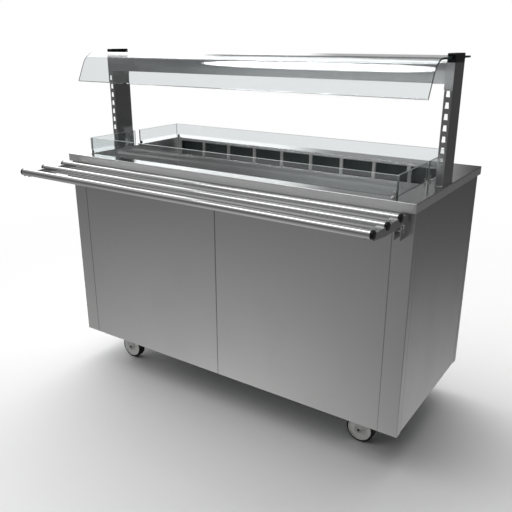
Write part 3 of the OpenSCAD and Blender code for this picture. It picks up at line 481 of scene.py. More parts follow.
# painted shade: darker than galvanised sheet is, so the base tray throws back less light and the floor under the
# counter stays dark
GALVANISED_PAINTED_SHADE = Plated("galvanised_painted_shade", (0.3, 0.31, 0.32), 0.42, 45.0)
GLASS = ClearGlass("clear_glass", (0.79, 0.82, 0.825))
CANOPY = ClearGlass("canopy_clear_glass", (0.77, 0.8, 0.81))
GROUND = GroundEdge("ground_glass_edge")
# painted highlight: the front pane's up-facing edge is an opaque near-white, standing for the bright reflection
# along its top
TOP_EDGE_PAINTED_HIGHLIGHT = GroundEdge("top_edge_painted_highlight", (0.7, 0.78, 0.77), 0.0)
POLISHED = GroundEdge("polished_glass_edge", (0.02, 0.045, 0.04), 0.1)
BLACK = Moulded("black_plastic", (0.006, 0.006, 0.007), 0.24, dust=0.02, ior=1.32)
TYRE = Moulded("tyre_rubber", (0.016, 0.016, 0.017), 0.62, 260.0, 0.25, 0.16)
NYLON = Moulded("wheel_nylon", (0.86, 0.86, 0.83), 0.45, 300.0, 0.08, 0.08)
DUCT = Moulded("duct_plastic", (0.11, 0.14, 0.135), 0.5)
FOAM = Foam("insulating_foam")
PIPE = Moulded("white_pipe", (0.78, 0.78, 0.76), 0.35, 200.0, 0.03)
PAINT = Lacquer("black_paint")
FINS = Plated("aluminium_fins", (0.62, 0.63, 0.64), 0.36, 30.0)
ROCKER = Moulded("green_rocker", (0.02, 0.25, 0.07), 0.22, 300.0, 0.02, 0.03, 0.6)
DISPLAY = Moulded("display_window", (0.01, 0.012, 0.016), 0.08, 100.0, 0.0, 0.02, 1.0)


# ---- shells: vertices and faces as arrays

@dataclass
class Shell:
    """Vertices in metres and faces as rows of indices."""

    verts: np.ndarray
    faces: list[tuple[int, ...]]


def joined(shells: Sequence[Shell]) -> Shell:
    """Puts shells together.

    Args:
        shells: The shells.

    Returns:
        All of them in one.
    """
    starts = np.cumsum([0] + [len(shell.verts) for shell in shells])
    faces = [tuple(i + start for i in face) for start, shell in zip(starts.tolist(), shells)
             for face in shell.faces]
    return Shell(np.vstack([shell.verts for shell in shells]), faces)


def loft(rings: np.ndarray, closed: bool = False, caps: bool = True) -> Shell:
    """Joins rings of points with four-sided faces.

    Point k of ring m goes to point k of ring m + 1; the last point of a ring goes to its first.

    Args:
        rings: Points of shape (rings, points, 3).
        closed: Whether the last ring goes back to the first.
        caps: Whether an open loft gets a face over each end.

    Returns:
        The shell.
    """
    m, n, _ = rings.shape
    rows = m if closed else m - 1
    i, k = np.meshgrid(np.arange(rows), np.arange(n), indexing="ij")
    a, b = i * n + k, i * n + (k + 1) % n
    c, d = ((i + 1) % m) * n + (k + 1) % n, ((i + 1) % m) * n + k
    faces = [tuple(f) for f in np.stack([a, b, c, d], -1).reshape(-1, 4).tolist()]
    if caps and not closed:
        faces += [tuple(range(n))[::-1], tuple(range((m - 1) * n, m * n))]
    return Shell(rings.reshape(-1, 3), faces)


def spread(u: np.ndarray, v: np.ndarray, w: np.ndarray, axis: Axis) -> np.ndarray:
    """Points of the frame from their places along an axis and along the two axes that follow it.

    Args:
        u: Places along the first axis that follows.
        v: Places along the second.
        w: Places along the axis.
        axis: The axis.

    Returns:
        Points, of the common shape of the places and 3.
    """
    made = np.empty((*np.broadcast(u, v, w).shape, 3))
    along, first, second = axis.value
    made[..., along], made[..., first], made[..., second] = w, u, v
    return made


def round_rect(u0: np.ndarray, u1: np.ndarray, v0: np.ndarray, v1: np.ndarray, r: np.ndarray,
               steps: int = 5) -> tuple[np.ndarray, np.ndarray]:
    """Rectangles with rounded corners, one for each entry of the limits.

    Each corner is a quarter circle of radius r about a point that lies r inside both sides.

    Args:
        u0: Lower limits in u.
        u1: Upper limits in u.
        v0: Lower limits in v.
        v1: Upper limits in v.
        r: Corner radii.
        steps: Points in each corner.

    Returns:
        u and v of the points, of shape (entries, 4 * steps).
    """
    u0, u1, v0, v1, r = (np.atleast_1d(np.asarray(x, float))[:, None, None] for x in (u0, u1, v0, v1, r))
    turn = np.radians(np.arange(4)[:, None] * 90 + np.linspace(0, 90, steps)[None, :])[None]
    right = np.array([1, 0, 0, 1])[None, :, None]
    top = np.array([1, 1, 0, 0])[None, :, None]
    u = np.where(right, u1 - r, u0 + r) + r * np.cos(turn)
    v = np.where(top, v1 - r, v0 + r) + r * np.sin(turn)
    return u.reshape(len(u), -1), v.reshape(len(v), -1)


def slab(low: Sequence[float], high: Sequence[float], edge: float, axis: Axis = Axis.Z,
         corner: float | None = None, steps: int = 4) -> Shell:
    """A box with rounded edges.

    A rounded rectangle is carried along the axis; near each end it shrinks by edge * (1 - sin t)
    while it moves by edge * (1 - cos t), so each end edge is a quarter circle.

    Args:
        low: Lowest corner.
        high: Highest corner.
        edge: Radius of the edges round both ends.
        axis: The way it is carried.
        corner: Radius of the other four edges; the same if not given.
        steps: Points in each quarter circle.

    Returns:
        The shell.
    """
    along, first, second = axis.value
    corner = edge if corner is None else corner
    t = np.linspace(0, math.pi / 2, steps)
    inset = edge * (1 - np.sin(t))
    near = low[along] + edge * (1 - np.cos(t))
    far = high[along] - edge * (1 - np.cos(t))
    inset, w = np.concatenate([inset, inset[::-1]]), np.concatenate([near, far[::-1]])
    u, v = round_rect(low[first] + inset, high[first] - inset, low[second] + inset,
                      high[second] - inset, np.maximum(corner - inset, 2e-5), steps)
    return loft(spread(u, v, w[:, None], axis))


def lathe(profile: Outline, centre: Sequence[float], axis: Axis, closed: bool = False,
          steps: int = 64) -> Shell:
    """A profile turned round an axis through the centre.

    Point (r, h) goes to the circle of radius r at the distance h along the axis.

    Args:
        profile: Radius and height of each point.
        centre: A point on the axis, at height 0.
        axis: The axis.
        closed: Whether the profile is a closed outline.
        steps: Points in a full turn.

    Returns:
        The shell.
    """
    p = np.asarray(profile, float)
    t = np.linspace(0, 2 * math.pi, steps, endpoint=False)
    along, first, second = axis.value
    r = p[:, :1]
    rings = spread(centre[first] + r * np.cos(t), centre[second] + r * np.sin(t),
                   centre[along] + p[:, 1:] + 0 * t, axis)
    return loft(rings, closed)


def arc(u: float, v: float, r: float, start: float, end: float, steps: int = 6) -> Outline:
    """Points of a circle.

    Args:
        u: Its centre.
        v: Its centre.
        r: Its radius.
        start: Angle of the first point, in degrees.
        end: Angle of the last point, in degrees.
        steps: How many points.

    Returns:
        The points.
    """
    t = np.radians(np.linspace(start, end, steps))
    return list(zip((u + r * np.cos(t)).tolist(), (v + r * np.sin(t)).tolist()))


def bent(path: Outline, radius: float, steps: int = 5) -> tuple[np.ndarray, np.ndarray]:
    """A line with rounded corners and the normals at its left.

    At each corner the line leaves its side a distance radius * tan(turn / 2) before the corner
    and follows a circle that touches both sides.

    Args:
        path: Corners of the line.
        radius: Radius of the rounded corners.
        steps: Points in each corner.

    Returns:
        Points and unit normals, of shape (points, 2).
    """
    p = np.asarray(path, float)
    side = np.diff(p, axis=0)
    side /= np.linalg.norm(side, axis=1, keepdims=True)
    normal = np.stack([-side[:, 1], side[:, 0]], 1)
    points, normals = [p[:1]], [normal[:1]]
    for i in range(1, len(p) - 1):
        a, b = side[i - 1], side[i]
        turn = math.atan2(a[0] * b[1] - a[1] * b[0], float(a @ b))
        if abs(turn) < 1e-6:
            continue
        sign = math.copysign(1.0, turn)
        centre = p[i] - a * radius * math.tan(abs(turn) / 2) + sign * radius * normal[i - 1]
        t = np.linspace(0, turn, steps)[:, None]
        n0 = normal[i - 1][None]
        n = n0 * np.cos(t) + np.stack([-n0[:, 1], n0[:, 0]], 1) * np.sin(t)
        points.append(centre - sign * radius * n)
        normals.append(n)
    points.append(p[-1:])
    normals.append(normal[-1:])
    return np.vstack(points), np.vstack(normals)


def carried(outline: np.ndarray, out: np.ndarray, low: float, high: float, edge: float, axis: Axis) -> Shell:
    """The outline of a bent sheet carried along an axis, with broken edges and closed ends.

    The outline goes along one face of the sheet and back along the other, so that point k lies
    across from point k of the way back. It shrinks by edge over the last edge of each end.

    Args:
        outline: Points of shape (points, 2), in the two axes that follow the axis.
        out: The way out of the sheet at each point.
        low: Where it starts.
        high: Where it ends.
        edge: Size of the broken edges.
        axis: The way it is carried.

    Returns:
        The shell.
    """
    ends = np.array([(low, edge), (low + edge, 0), (high - edge, 0), (high, edge)])
    uv = outline[None] - out[None] * ends[:, 1][:, None, None]
    shell = loft(spread(uv[..., 0], uv[..., 1], ends[:, :1], axis), caps=False)
    size = len(outline)
    k = np.arange(size // 2 - 1)
    strip = np.stack([k, k + 1, size - 2 - k, size - 1 - k], 1)
    over = np.vstack([strip[:, ::-1], strip + 3 * size])
    return Shell(shell.verts, shell.faces + [tuple(f) for f in over.tolist()])


def folded(path: Outline, thick: float, radius: float, low: float, high: float,
           axis: Axis, edge: float = 0.3 * MM) -> Shell:
    """Sheet metal folded along a path and carried along an axis.

    The path is the sheet's outer face and the sheet lies at its left.

    Args:
        path: Corners of the outer face, in the two axes that follow the axis.
        thick: Thickness of the sheet.
        radius: Outer radius of the folds.
        low: Where it starts.
        high: Where it ends.
        axis: The way it is carried.
        edge: Size of the broken edge at both ends.

    Returns:
        The shell.
    """
    p, n = bent(path, radius)
    return carried(np.vstack([p, (p + n * thick)[::-1]]), np.vstack([-n, n[::-1]]), low, high, edge, axis)


# ---- pieces

BODY_OF = {node: body for body, nodes in frame["record"]["behaviour"]["bodies"].items() for node in nodes}


def finish_piece(mesh: bpy.types.Mesh, node: str, finish: Finish, angle: float,
                 replaces: bool = True) -> bpy.types.Object:
    """Makes a mesh a piece, dresses it and sets it on the body of a node.

    Args:
        mesh: The mesh, in place.
        node: The node whose body it takes, and which it hides when it stands for it.
        finish: Its finish.
        angle: Edges sharper than this many degrees stay crisp.
        replaces: Whether the piece stands for the node.

    Returns:
        The piece.
    """
    piece = bpy.data.objects.new(mesh.name, mesh)
    bpy.context.scene.collection.objects.link(piece)
    mesh.materials.clear()
    mesh.materials.append(material_of(finish))
    mesh.shade_smooth()
    mesh.set_sharp_from_angle(angle=math.radians(angle))
    flat = piece.modifiers.new("flat_faces", "WEIGHTED_NORMAL")
    flat.mode, flat.weight, flat.keep_sharp = "FACE_AREA", 100, True
    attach(piece, BODY_OF[node])
    if replaces:
        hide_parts(node)
    log.info("%s: %d faces on %s", piece.name, len(mesh.polygons), BODY_OF[node])
    return piece


def build(node: str, shell: Shell, finish: Finish, angle: float = 40.0,
          name: str | None = None) -> bpy.types.Object:
    """Makes a piece from a shell, with its faces turned outwards.

    Args:
        node: The node that it stands for or goes with.
        shell: Its shape.
        finish: Its finish.
        angle: Edges sharper than this many degrees stay crisp.
        name: Its name if it only goes with the node.

    Returns:
        The piece.
    """
    mesh = bpy.data.meshes.new(name or node + "_skin")
    mesh.from_pydata(shell.verts, [], shell.faces)
    work = bmesh.new()
    work.from_mesh(mesh)
    bmesh.ops.remove_doubles(work, verts=work.verts, dist=2e-6)
    bmesh.ops.recalc_face_normals(work, faces=work.faces)
    work.to_mesh(mesh)
    work.free()
    return finish_piece(mesh, node, finish, angle, name is None)


def soften(node: str, finish: Finish, edge: float = 0.4, steps: int = 2,
           angle: float = 35.0) -> bpy.types.Object:
    """Makes a piece with broken edges from a merged copy of a node.

    Args:
        node: The node to copy and stand for.
        finish: Its finish.
        edge: Width of the broken edges in millimetres.
        steps: Faces across a broken edge.
        angle: Edges sharper than this many degrees are broken.

    Returns:
        The piece.
    """
    mesh = frame["nodes"][node].data.copy()
    mesh.name = node + "_skin"
    work = bmesh.new()
    work.from_mesh(mesh)
    bmesh.ops.remove_doubles(work, verts=work.verts, dist=1e-5)
    bmesh.ops.dissolve_limit(work, angle_limit=math.radians(0.8), verts=work.verts, edges=work.edges)
    limit = math.radians(angle)
    sharp = [e for e in work.edges if len(e.link_faces) == 2 and e.calc_face_angle(0.0) > limit]
    bmesh.ops.bevel(work, geom=sharp, offset=edge * MM, offset_type="OFFSET", segments=steps,
                    profile=0.5, affect="EDGES", clamp_overlap=True)
    work.to_mesh(mesh)
    work.free()
    return finish_piece(mesh, node, finish, 30.0)


@dataclass
class Carcass:
    """The body: base tray, posts, panels, bulkhead and worktop."""

    sheet: float = 1.5 * MM
    fold: float = 3.0 * MM
    seam: float = 1 * MM
    strip: float = 1.9 * MM
    groove: float = 0.5 * MM
    strip_edge: float = 0.1 * MM
    lip_edge: float = 0.3 * MM
    rim_z: float = 169 * MM
    deck: float = 1.5 * MM
    deck_fold: float = 2.6 * MM
    rim_drop: float = 1.2 * MM
    pane: float = 6 * MM

    def make(self) -> None:
        """Builds every piece of the body."""
        self.posts()
        self.panel("front_left_panel")
        self.panel("front_right_panel")
        self.end_panel("left_end_panel")
        self.end_panel("right_end_panel")
        self.worktop()
        # the base tray's darkened sheet is painted shade for the floor under the counter
        soften("base_tray", GALVANISED_PAINTED_SHADE, 0.6)
        soften("bulkhead", PANEL, 0.4)

    def posts(self) -> None:
        """The four corner posts: an angle each, folded to a round corner.

        A strip behind each seam of the front posts closes the gap to the panel beside it.
        """
        low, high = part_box("corner_posts")
        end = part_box("left_end_panel")
        side = high.x - (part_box("front_left_panel")[0].x - self.seam - low.x)
        front_end, rear_end = end[0].y - self.seam, end[1].y + self.seam
        bottom, top, half = low.z + self.seam, high.z - self.seam, self.strip / 2
        shells = []
        for s in (-1, 1):
            for face, y, inner in ((1, low.y, front_end), (-1, high.y, rear_end)):
                path = [(s * side, y), (s * high.x, y), (s * high.x, inner)]
                shells.append(folded(path[::s * face], self.sheet, self.fold, low.z, high.z, Axis.Z))
            shells.append(slab((s * side - half, low.y + self.groove, bottom),
                               (s * side + half, low.y + self.sheet - OVERLAP, top), self.strip_edge))
            x0, x1 = sorted((s * (high.x - self.groove), s * (high.x - self.sheet + OVERLAP)))
            shells.append(slab((x0, front_end - half, bottom), (x1, front_end + half, top), self.strip_edge))
        build("corner_posts", joined(shells), PANEL)

    def panel(self, node: str) -> None:
        """A front panel: a face with rounded upright edges, and folded lips above the base tray.

        Args:
            node: The panel's node.
        """
        low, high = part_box(node)
        near = low.y + self.fold
        face = folded([(low.x, near), (low.x, low.y), (high.x, low.y), (high.x, near)],
                      self.sheet, self.fold * 0.98, low.z, high.z, Axis.Z)
        lips = [slab((x, near - OVERLAP, self.rim_z), (x + self.sheet, high.y, high.z), self.lip_edge)
                for x in (low.x, high.x - self.sheet)]
        build(node, joined([face, *lips]), PANEL)

    def end_panel(self, node: str) -> None:
        """An end panel, made as a front panel is, but facing along the counter.

        Args:
            node: The panel's node.
        """
        low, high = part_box(node)
        way = 1 if low.x < 0 else -1
        out, far = (low.x, high.x)[::way]
        near = out + way * self.fold
        path = [(near, high.y), (out, high.y), (out, low.y), (near, low.y)]
        face = folded(path[::way], self.sheet, self.fold * 0.98, low.z, high.z, Axis.Z)
        x0, x1 = sorted((near - way * OVERLAP, far))
        lips = [slab((x0, y, self.rim_z), (x1, y + self.sheet, high.z), self.lip_edge)
                for y in (low.y, high.y - self.sheet)]
        build(node, joined([face, *lips]), PANEL)

    def worktop(self) -> None:
        """The worktop: rings from its lower edge, over the fold, across to the well and back under."""
        low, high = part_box("worktop")
        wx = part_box("side_glass")[1].x - self.pane
        wy0, wy1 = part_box("front_glass")[1].y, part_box("rear_glass")[0].y
        r, rim = self.deck_fold, self.rim_drop
        t = np.linspace(0, math.pi / 2, 6)
        outer_in = np.concatenate([[0], r * (1 - np.cos(t))])
        outer_z = np.concatenate([[low.z], high.z - r * (1 - np.sin(t))])
        hole_out = np.concatenate([rim * (1 - np.sin(t)), [0.0]])
        hole_z = np.concatenate([high.z - rim * (1 - np.cos(t)), [high.z - self.deck]])
        u0, v0 = round_rect(low.x + outer_in, high.x - outer_in, low.y + outer_in, high.y - outer_in,
                            np.maximum(r - outer_in, 1e-4))
        u1, v1 = round_rect(-wx - hole_out, wx + hole_out, wy0 - hole_out, wy1 + hole_out,
                            0.8 * MM + hole_out)
        under_in = np.array([self.deck, self.deck])
        u2, v2 = round_rect(low.x + under_in, high.x - under_in, low.y + under_in, high.y - under_in,
                            np.full(2, 1.2 * MM))
        under_z = np.array([high.z - self.deck, low.z])
        rings = np.concatenate([spread(u0, v0, outer_z[:, None], Axis.Z),
                                spread(u1, v1, hole_z[:, None], Axis.Z),
                                spread(u2, v2, under_z[:, None], Axis.Z)])
        build("worktop", loft(rings, closed=True), DECK)


class Well:
    """The chilled well: tank, insulation, air duct, grille, evaporator and drain."""

    def make(self) -> None:
        """Builds every piece of the well."""
        soften("well_tank", TANK, 0.5)
        soften("well_insulation", FOAM, 1.0)
        soften("air_duct", DUCT, 0.5)
        soften("air_grille", TANK, 0.8)
        soften("evaporator", FINS, 0.3)
        soften("drain_pipe", PIPE, 0.4)


def grind(piece: bpy.types.Object, *edges: Finish, least: float = 0.01) -> None:
    """Gives the narrow faces of a pane the finish of a ground edge.

    Args:
        piece: The pane.
        edges: The finish of its edges, and where it differs, that of the edge that faces up.
        least: Faces smaller than this, in square metres, are its edges.
    """
    for edge in edges:
        piece.data.materials.append(material_of(edge))
    for face in piece.data.polygons:
        narrow = len(edges) if face.normal.z > 0.5 else 1
        face.material_index = 0 if face.area >= least else narrow


@dataclass
class GlassUpstand:
    """The low glass round the well, and its clips."""

    arris: float = 0.6 * MM

    def make(self) -> None:
        """Builds the panes and the clips."""
        # the front pane's up-facing edge takes the painted highlight finish
        for node, edges in (("front_glass", (GROUND, TOP_EDGE_PAINTED_HIGHLIGHT)), ("rear_glass", (GROUND,))):
            low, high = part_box(node)
            grind(build(node, slab(low, high, self.arris, Axis.X), GLASS), *edges)
        low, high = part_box("side_glass")
        mesh = frame["nodes"]["side_glass"].data
        ys = np.unique(np.round([v.co.y for v in mesh.vertices], 5))
        xs = np.unique(np.round([v.co.x for v in mesh.vertices], 5))
        shells = [slab((x0, y0, low.z), (x1, y1, high.z), self.arris, Axis.Y)
                  for x0, x1 in ((xs[0], xs[1]), (xs[2], xs[3]))
                  for y0, y1 in ((ys[0], ys[1]), (ys[2], ys[3]))]
        grind(build("side_glass", joined(shells), GLASS), GROUND)
        soften("glass_clips", BRIGHT, 0.5, 3)


@dataclass
class Gantry:
    """Uprights, beam, caps and the canopy glass."""

    bend: float = 75 * MM
    sweep: float = 64.5
    glass: float = 6 * MM
    flat: float = 74.5 * MM
    drop: float = 70 * MM
    post_t: float = 1.5 * MM
    arris: float = 1.0 * MM
    plate: float = 2 * MM
    beam_h: float = 60 * MM

    def make(self) -> None:
        """Builds every piece of the gantry."""
        soften("left_upright", POST, 0.8, 3)
        soften("right_upright", POST, 0.8, 3)
        soften("post_caps", BLACK, 0.8, 3)
        soften("canopy_screws", BRIGHT, 0.5, 3)
        self.beam()
        self.canopy()

    def beam(self) -> None:
        """The beam: a rounded box between its end plates."""
        low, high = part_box("canopy_beam")
        plate = self.plate
        shells = [slab((low.x + plate - OVERLAP, low.y, high.z - self.beam_h),
                       (high.x - plate + OVERLAP, high.y, high.z), 0.1 * MM, Axis.X, 2.5 * MM)]
        shells += [slab((x, low.y, low.z), (x + plate, high.y, high.z), 0.4 * MM, Axis.X, 0.8 * MM)
                   for x in (low.x, high.x - plate)]
        build("canopy_beam", joined(shells), BEAM)

    def canopy(self) -> None:
        """The canopy glass: a flat sheet, a bend and a straight fall, with polished edges.

        Its middle line goes forward, round a circle of the bend's radius about a point below the
        sheet, and on along the tangent. Both faces lie half the glass away from it.
        """
        low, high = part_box("canopy_glass")
        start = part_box("left_upright")[0].y + self.post_t - self.flat
        centre = high.z - self.bend
        turn = np.radians(np.linspace(0, self.sweep, 25))
        mid = self.bend - self.glass / 2
        y = np.concatenate([[high.y], start - mid * np.sin(turn)])
        z = np.concatenate([[high.z - self.glass / 2], centre + mid * np.cos(turn)])
        angle = np.concatenate([[0.0], turn])
        way = np.stack([-np.cos(angle), -np.sin(angle)], 1)
        path = np.stack([y, z], 1)
        path = np.vstack([path, path[-1] + way[-1] * self.drop])
        way = np.vstack([way, way[-1]])
        normal = np.stack([-way[:, 1], way[:, 0]], 1)
        a, half = self.arris, self.glass / 2
        side = np.concatenate([[half - a], np.full(len(path), half), [half - a]])
        line = np.vstack([path[:1], path[:1] + way[:1] * a, path[1:-1], path[-1:] - way[-1:] * a, path[-1:]])
        norm = np.vstack([normal[:1], normal[:1], normal[1:-1], normal[-1:], normal[-1:]])
        upper, lower = line - norm * side[:, None], line + norm * side[:, None]
        outline = np.vstack([upper, lower[::-1]])
        shell = carried(outline, np.vstack([-norm, norm[::-1]]), low.x, high.x, a, Axis.X)
        piece = build("canopy_glass", shell, CANOPY, 25.0)
        piece.data.materials.append(material_of(POLISHED))
        rear = high.y - a / 2
        for face in piece.data.polygons:
            face.material_index = int(abs(face.normal.x) > 0.5 or face.center.y > rear)


@dataclass
class TraySlide:
    """Tubes, plugs, arms, brackets and bolts of the fold-down tray slide."""

    wall: float = 1.5 * MM
    end_edge: float = 0.4 * MM
    stem: float = 15 * MM
    play: float = 0.3 * MM
    collar: float = 9 * MM
    dome: float = 3.5 * MM

    def make(self) -> None:
        """Builds every piece of the tray slide."""
        plugs = []
        for node in ("front_tube", "middle_tube", "rear_tube"):
            low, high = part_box(node)
            r = (high.z - low.z) / 2
            centre = (0.0, (low.y + high.y) / 2, (low.z + high.z) / 2)
            inner, e = r - self.wall, self.end_edge
            profile = [(r - e, low.x), (r, low.x + e), (r, high.x - e), (r - e, high.x),
                       (inner, high.x), (inner, low.x)]
            build(node, lathe(profile, centre, Axis.X, closed=True, steps=72), TUBE)
            for s in (-1, 1):
                cap = [(inner - self.play, -self.stem), (inner - self.play, 0.0), (r - self.play, 0.0), (r, e)]
                cap += [(r - self.dome + u, v) for u, v in arc(0, self.collar - self.dome, self.dome, 0, 78, 8)]
                cap += [(0.0, self.collar)]
                plugs.append(lathe([(a, s * b) for a, b in cap], (s * high.x, *centre[1:]), Axis.X))
        build("tube_plugs", joined(plugs), BLACK)
        for node in ("left_arm", "right_arm"):
            soften(node, BRACKET, 0.7, 3)
        soften("wall_brackets", BRACKET, 0.6, 3)
        soften("pivot_bolts", BRIGHT, 0.8, 3)


@dataclass
class Castor:
    """One castor: fork, wheel, tyre and, at the rear, a brake pedal."""

    place: str
    pedal: str | None = None
    wheel_r: float = 43 * MM
    tyre_r: float = 50 * MM
    width: float = 32 * MM
    hub_r: float = 13.5 * MM
    bore: float = 6.1 * MM
    dish: float = 3.5 * MM
    shoulder: float = 4 * MM
    pin_r: float = 4.5 * MM
    pin_out: float = 0.9 * MM

    def make(self) -> None:
        """Builds the pieces of this castor."""
        soften(self.place + "_fork", ZINC, 0.7, 3)
        low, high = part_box(self.place + "_wheel")
        axis = Axis.Y if high.y - low.y < high.x - low.x else Axis.X
        centre = tuple((low + high) / 2)
        for part, profile, finish in (("_wheel", self.wheel(), NYLON), ("_tyre", self.tyre(), TYRE)):
            build(self.place + part, lathe(profile, centre, axis, closed=True, steps=96), finish)
        self.axle(axis, centre)
        if self.pedal:
            soften(self.pedal, BLACK, 0.8, 3)

    def axle(self, axis: Axis, centre: Sequence[float]) -> None:
        """The ends of the axle: a small black disc on the outside of each leg of the fork.

        Args:
            axis: The axle's axis.
            centre: The middle of the wheel.
        """
        along, first, second = axis.value
        mesh = frame["nodes"][self.place + "_fork"].data
        points = np.array([v.co for v in mesh.vertices]) - np.array(centre)
        near = np.hypot(points[:, first], points[:, second]) < self.hub_r
        reach = np.abs(points[near, along]).max()
        inside, r, out = -0.2 * MM, self.pin_r, self.pin_out
        profile = [(0.0, inside), (r, inside), (r, 0.5 * MM), (r - 0.5 * MM, out), (0.0, out)]
        shells = [lathe([(r, way * (reach + h)) for r, h in profile], centre, axis, steps=32) for way in (-1, 1)]
        build(self.place + "_fork", joined(shells), BLACK, name=self.place + "_axle_ends")

    def wheel(self) -> Outline:
        """The profile of the wheel centre: a hub and a rim with a dished web between them.

        Returns:
            Its points, as lathe takes them.
        """
        h, rim, hub, web = self.width / 2, self.wheel_r, self.hub_r, self.width / 2 - self.dish
        half = [(self.bore, h), (hub - 1 * MM, h), (hub, h - 0.8 * MM), (hub + 1.6 * MM, web),
                (rim - 5.5 * MM, web), (rim - 3.4 * MM, h - 1.0 * MM), (rim - 2.6 * MM, h - 0.3 * MM),
                (rim - 0.6 * MM, h - 0.3 * MM), (rim, h - 1.2 * MM)]
        return half + [(r, -y) for r, y in half[::-1]]

    def tyre(self) -> Outline:
        """The profile of the tyre: a flat tread with round shoulders, seated on the rim.

        Returns:
            Its points, as lathe takes them.
        """
        h, r, s = self.width / 2 - 0.6 * MM, self.tyre_r - self.shoulder, self.shoulder
        seat = self.wheel_r + 0.02 * MM
        profile = [(seat, -h + 0.8 * MM), (self.wheel_r + 0.6 * MM, -h)]
        profile += arc(r, -h + s, s, -80, 0, 7) + arc(r, h - s, s, 0, 80, 7)
        return profile + [(self.wheel_r + 0.6 * MM, h), (seat, h - 0.8 * MM)]


@dataclass
class RearFace:
    """The operator's side: doors, louvres, control panel and their fittings."""

    window: tuple[float, float] = (8 * MM, 44 * MM)
    window_rim: float = 9 * MM
    key_w: float = 7 * MM
    key_rim: float = 14 * MM
    keys: tuple[float, ...] = (50 * MM, 59 * MM, 68 * MM)
    sunk: float = 0.6 * MM

    def make(self) -> None:
        """Builds every piece of the rear face."""
        for node in ("left_door", "right_door"):
            soften(node, PANEL, 0.6, 3)
        soften("door_pins", BRIGHT, 0.4)
        soften("louvre_panel", PANEL, 0.4)
        soften("control_panel", PANEL, 0.5)
        soften("mains_gland", BLACK, 0.8, 3)
        soften("thermostat", BLACK, 0.6, 3)
        soften("switch_housing", BLACK, 0.5, 3)
        soften("power_switch", ROCKER, 0.5, 3)
        self.display()

    def display(self) -> None:
        """The thermostat's window and its three keys, set on its face."""
        low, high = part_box("thermostat")
        back, (start, end) = high.y - self.sunk, self.window
        window = slab((low.x + start, back, low.z + self.window_rim),
                      (low.x + end, high.y + 0.3 * MM, high.z - self.window_rim), 0.3 * MM, Axis.Y, 1.5 * MM)
        keys = [slab((low.x + x, back, low.z + self.key_rim),
                     (low.x + x + self.key_w, high.y + 0.8 * MM, high.z - self.key_rim), 0.5 * MM, Axis.Y, 2 * MM)
                for x in self.keys]
        build("thermostat", window, DISPLAY, name="thermostat_window")
        build("thermostat", joined(keys), NYLON, name="thermostat_keys")


class Plant:
    """The condensing unit behind the louvres."""

    def make(self) -> None:
        """Builds every piece of the plant."""
        soften("compressor", PAINT, 4.0, 4)
        soften("condenser", FINS, 0.3)
        soften("fan_motor", GALVANISED_PAINTED_SHADE, 1.0, 3)
        soften("fan", FINS, 0.3)


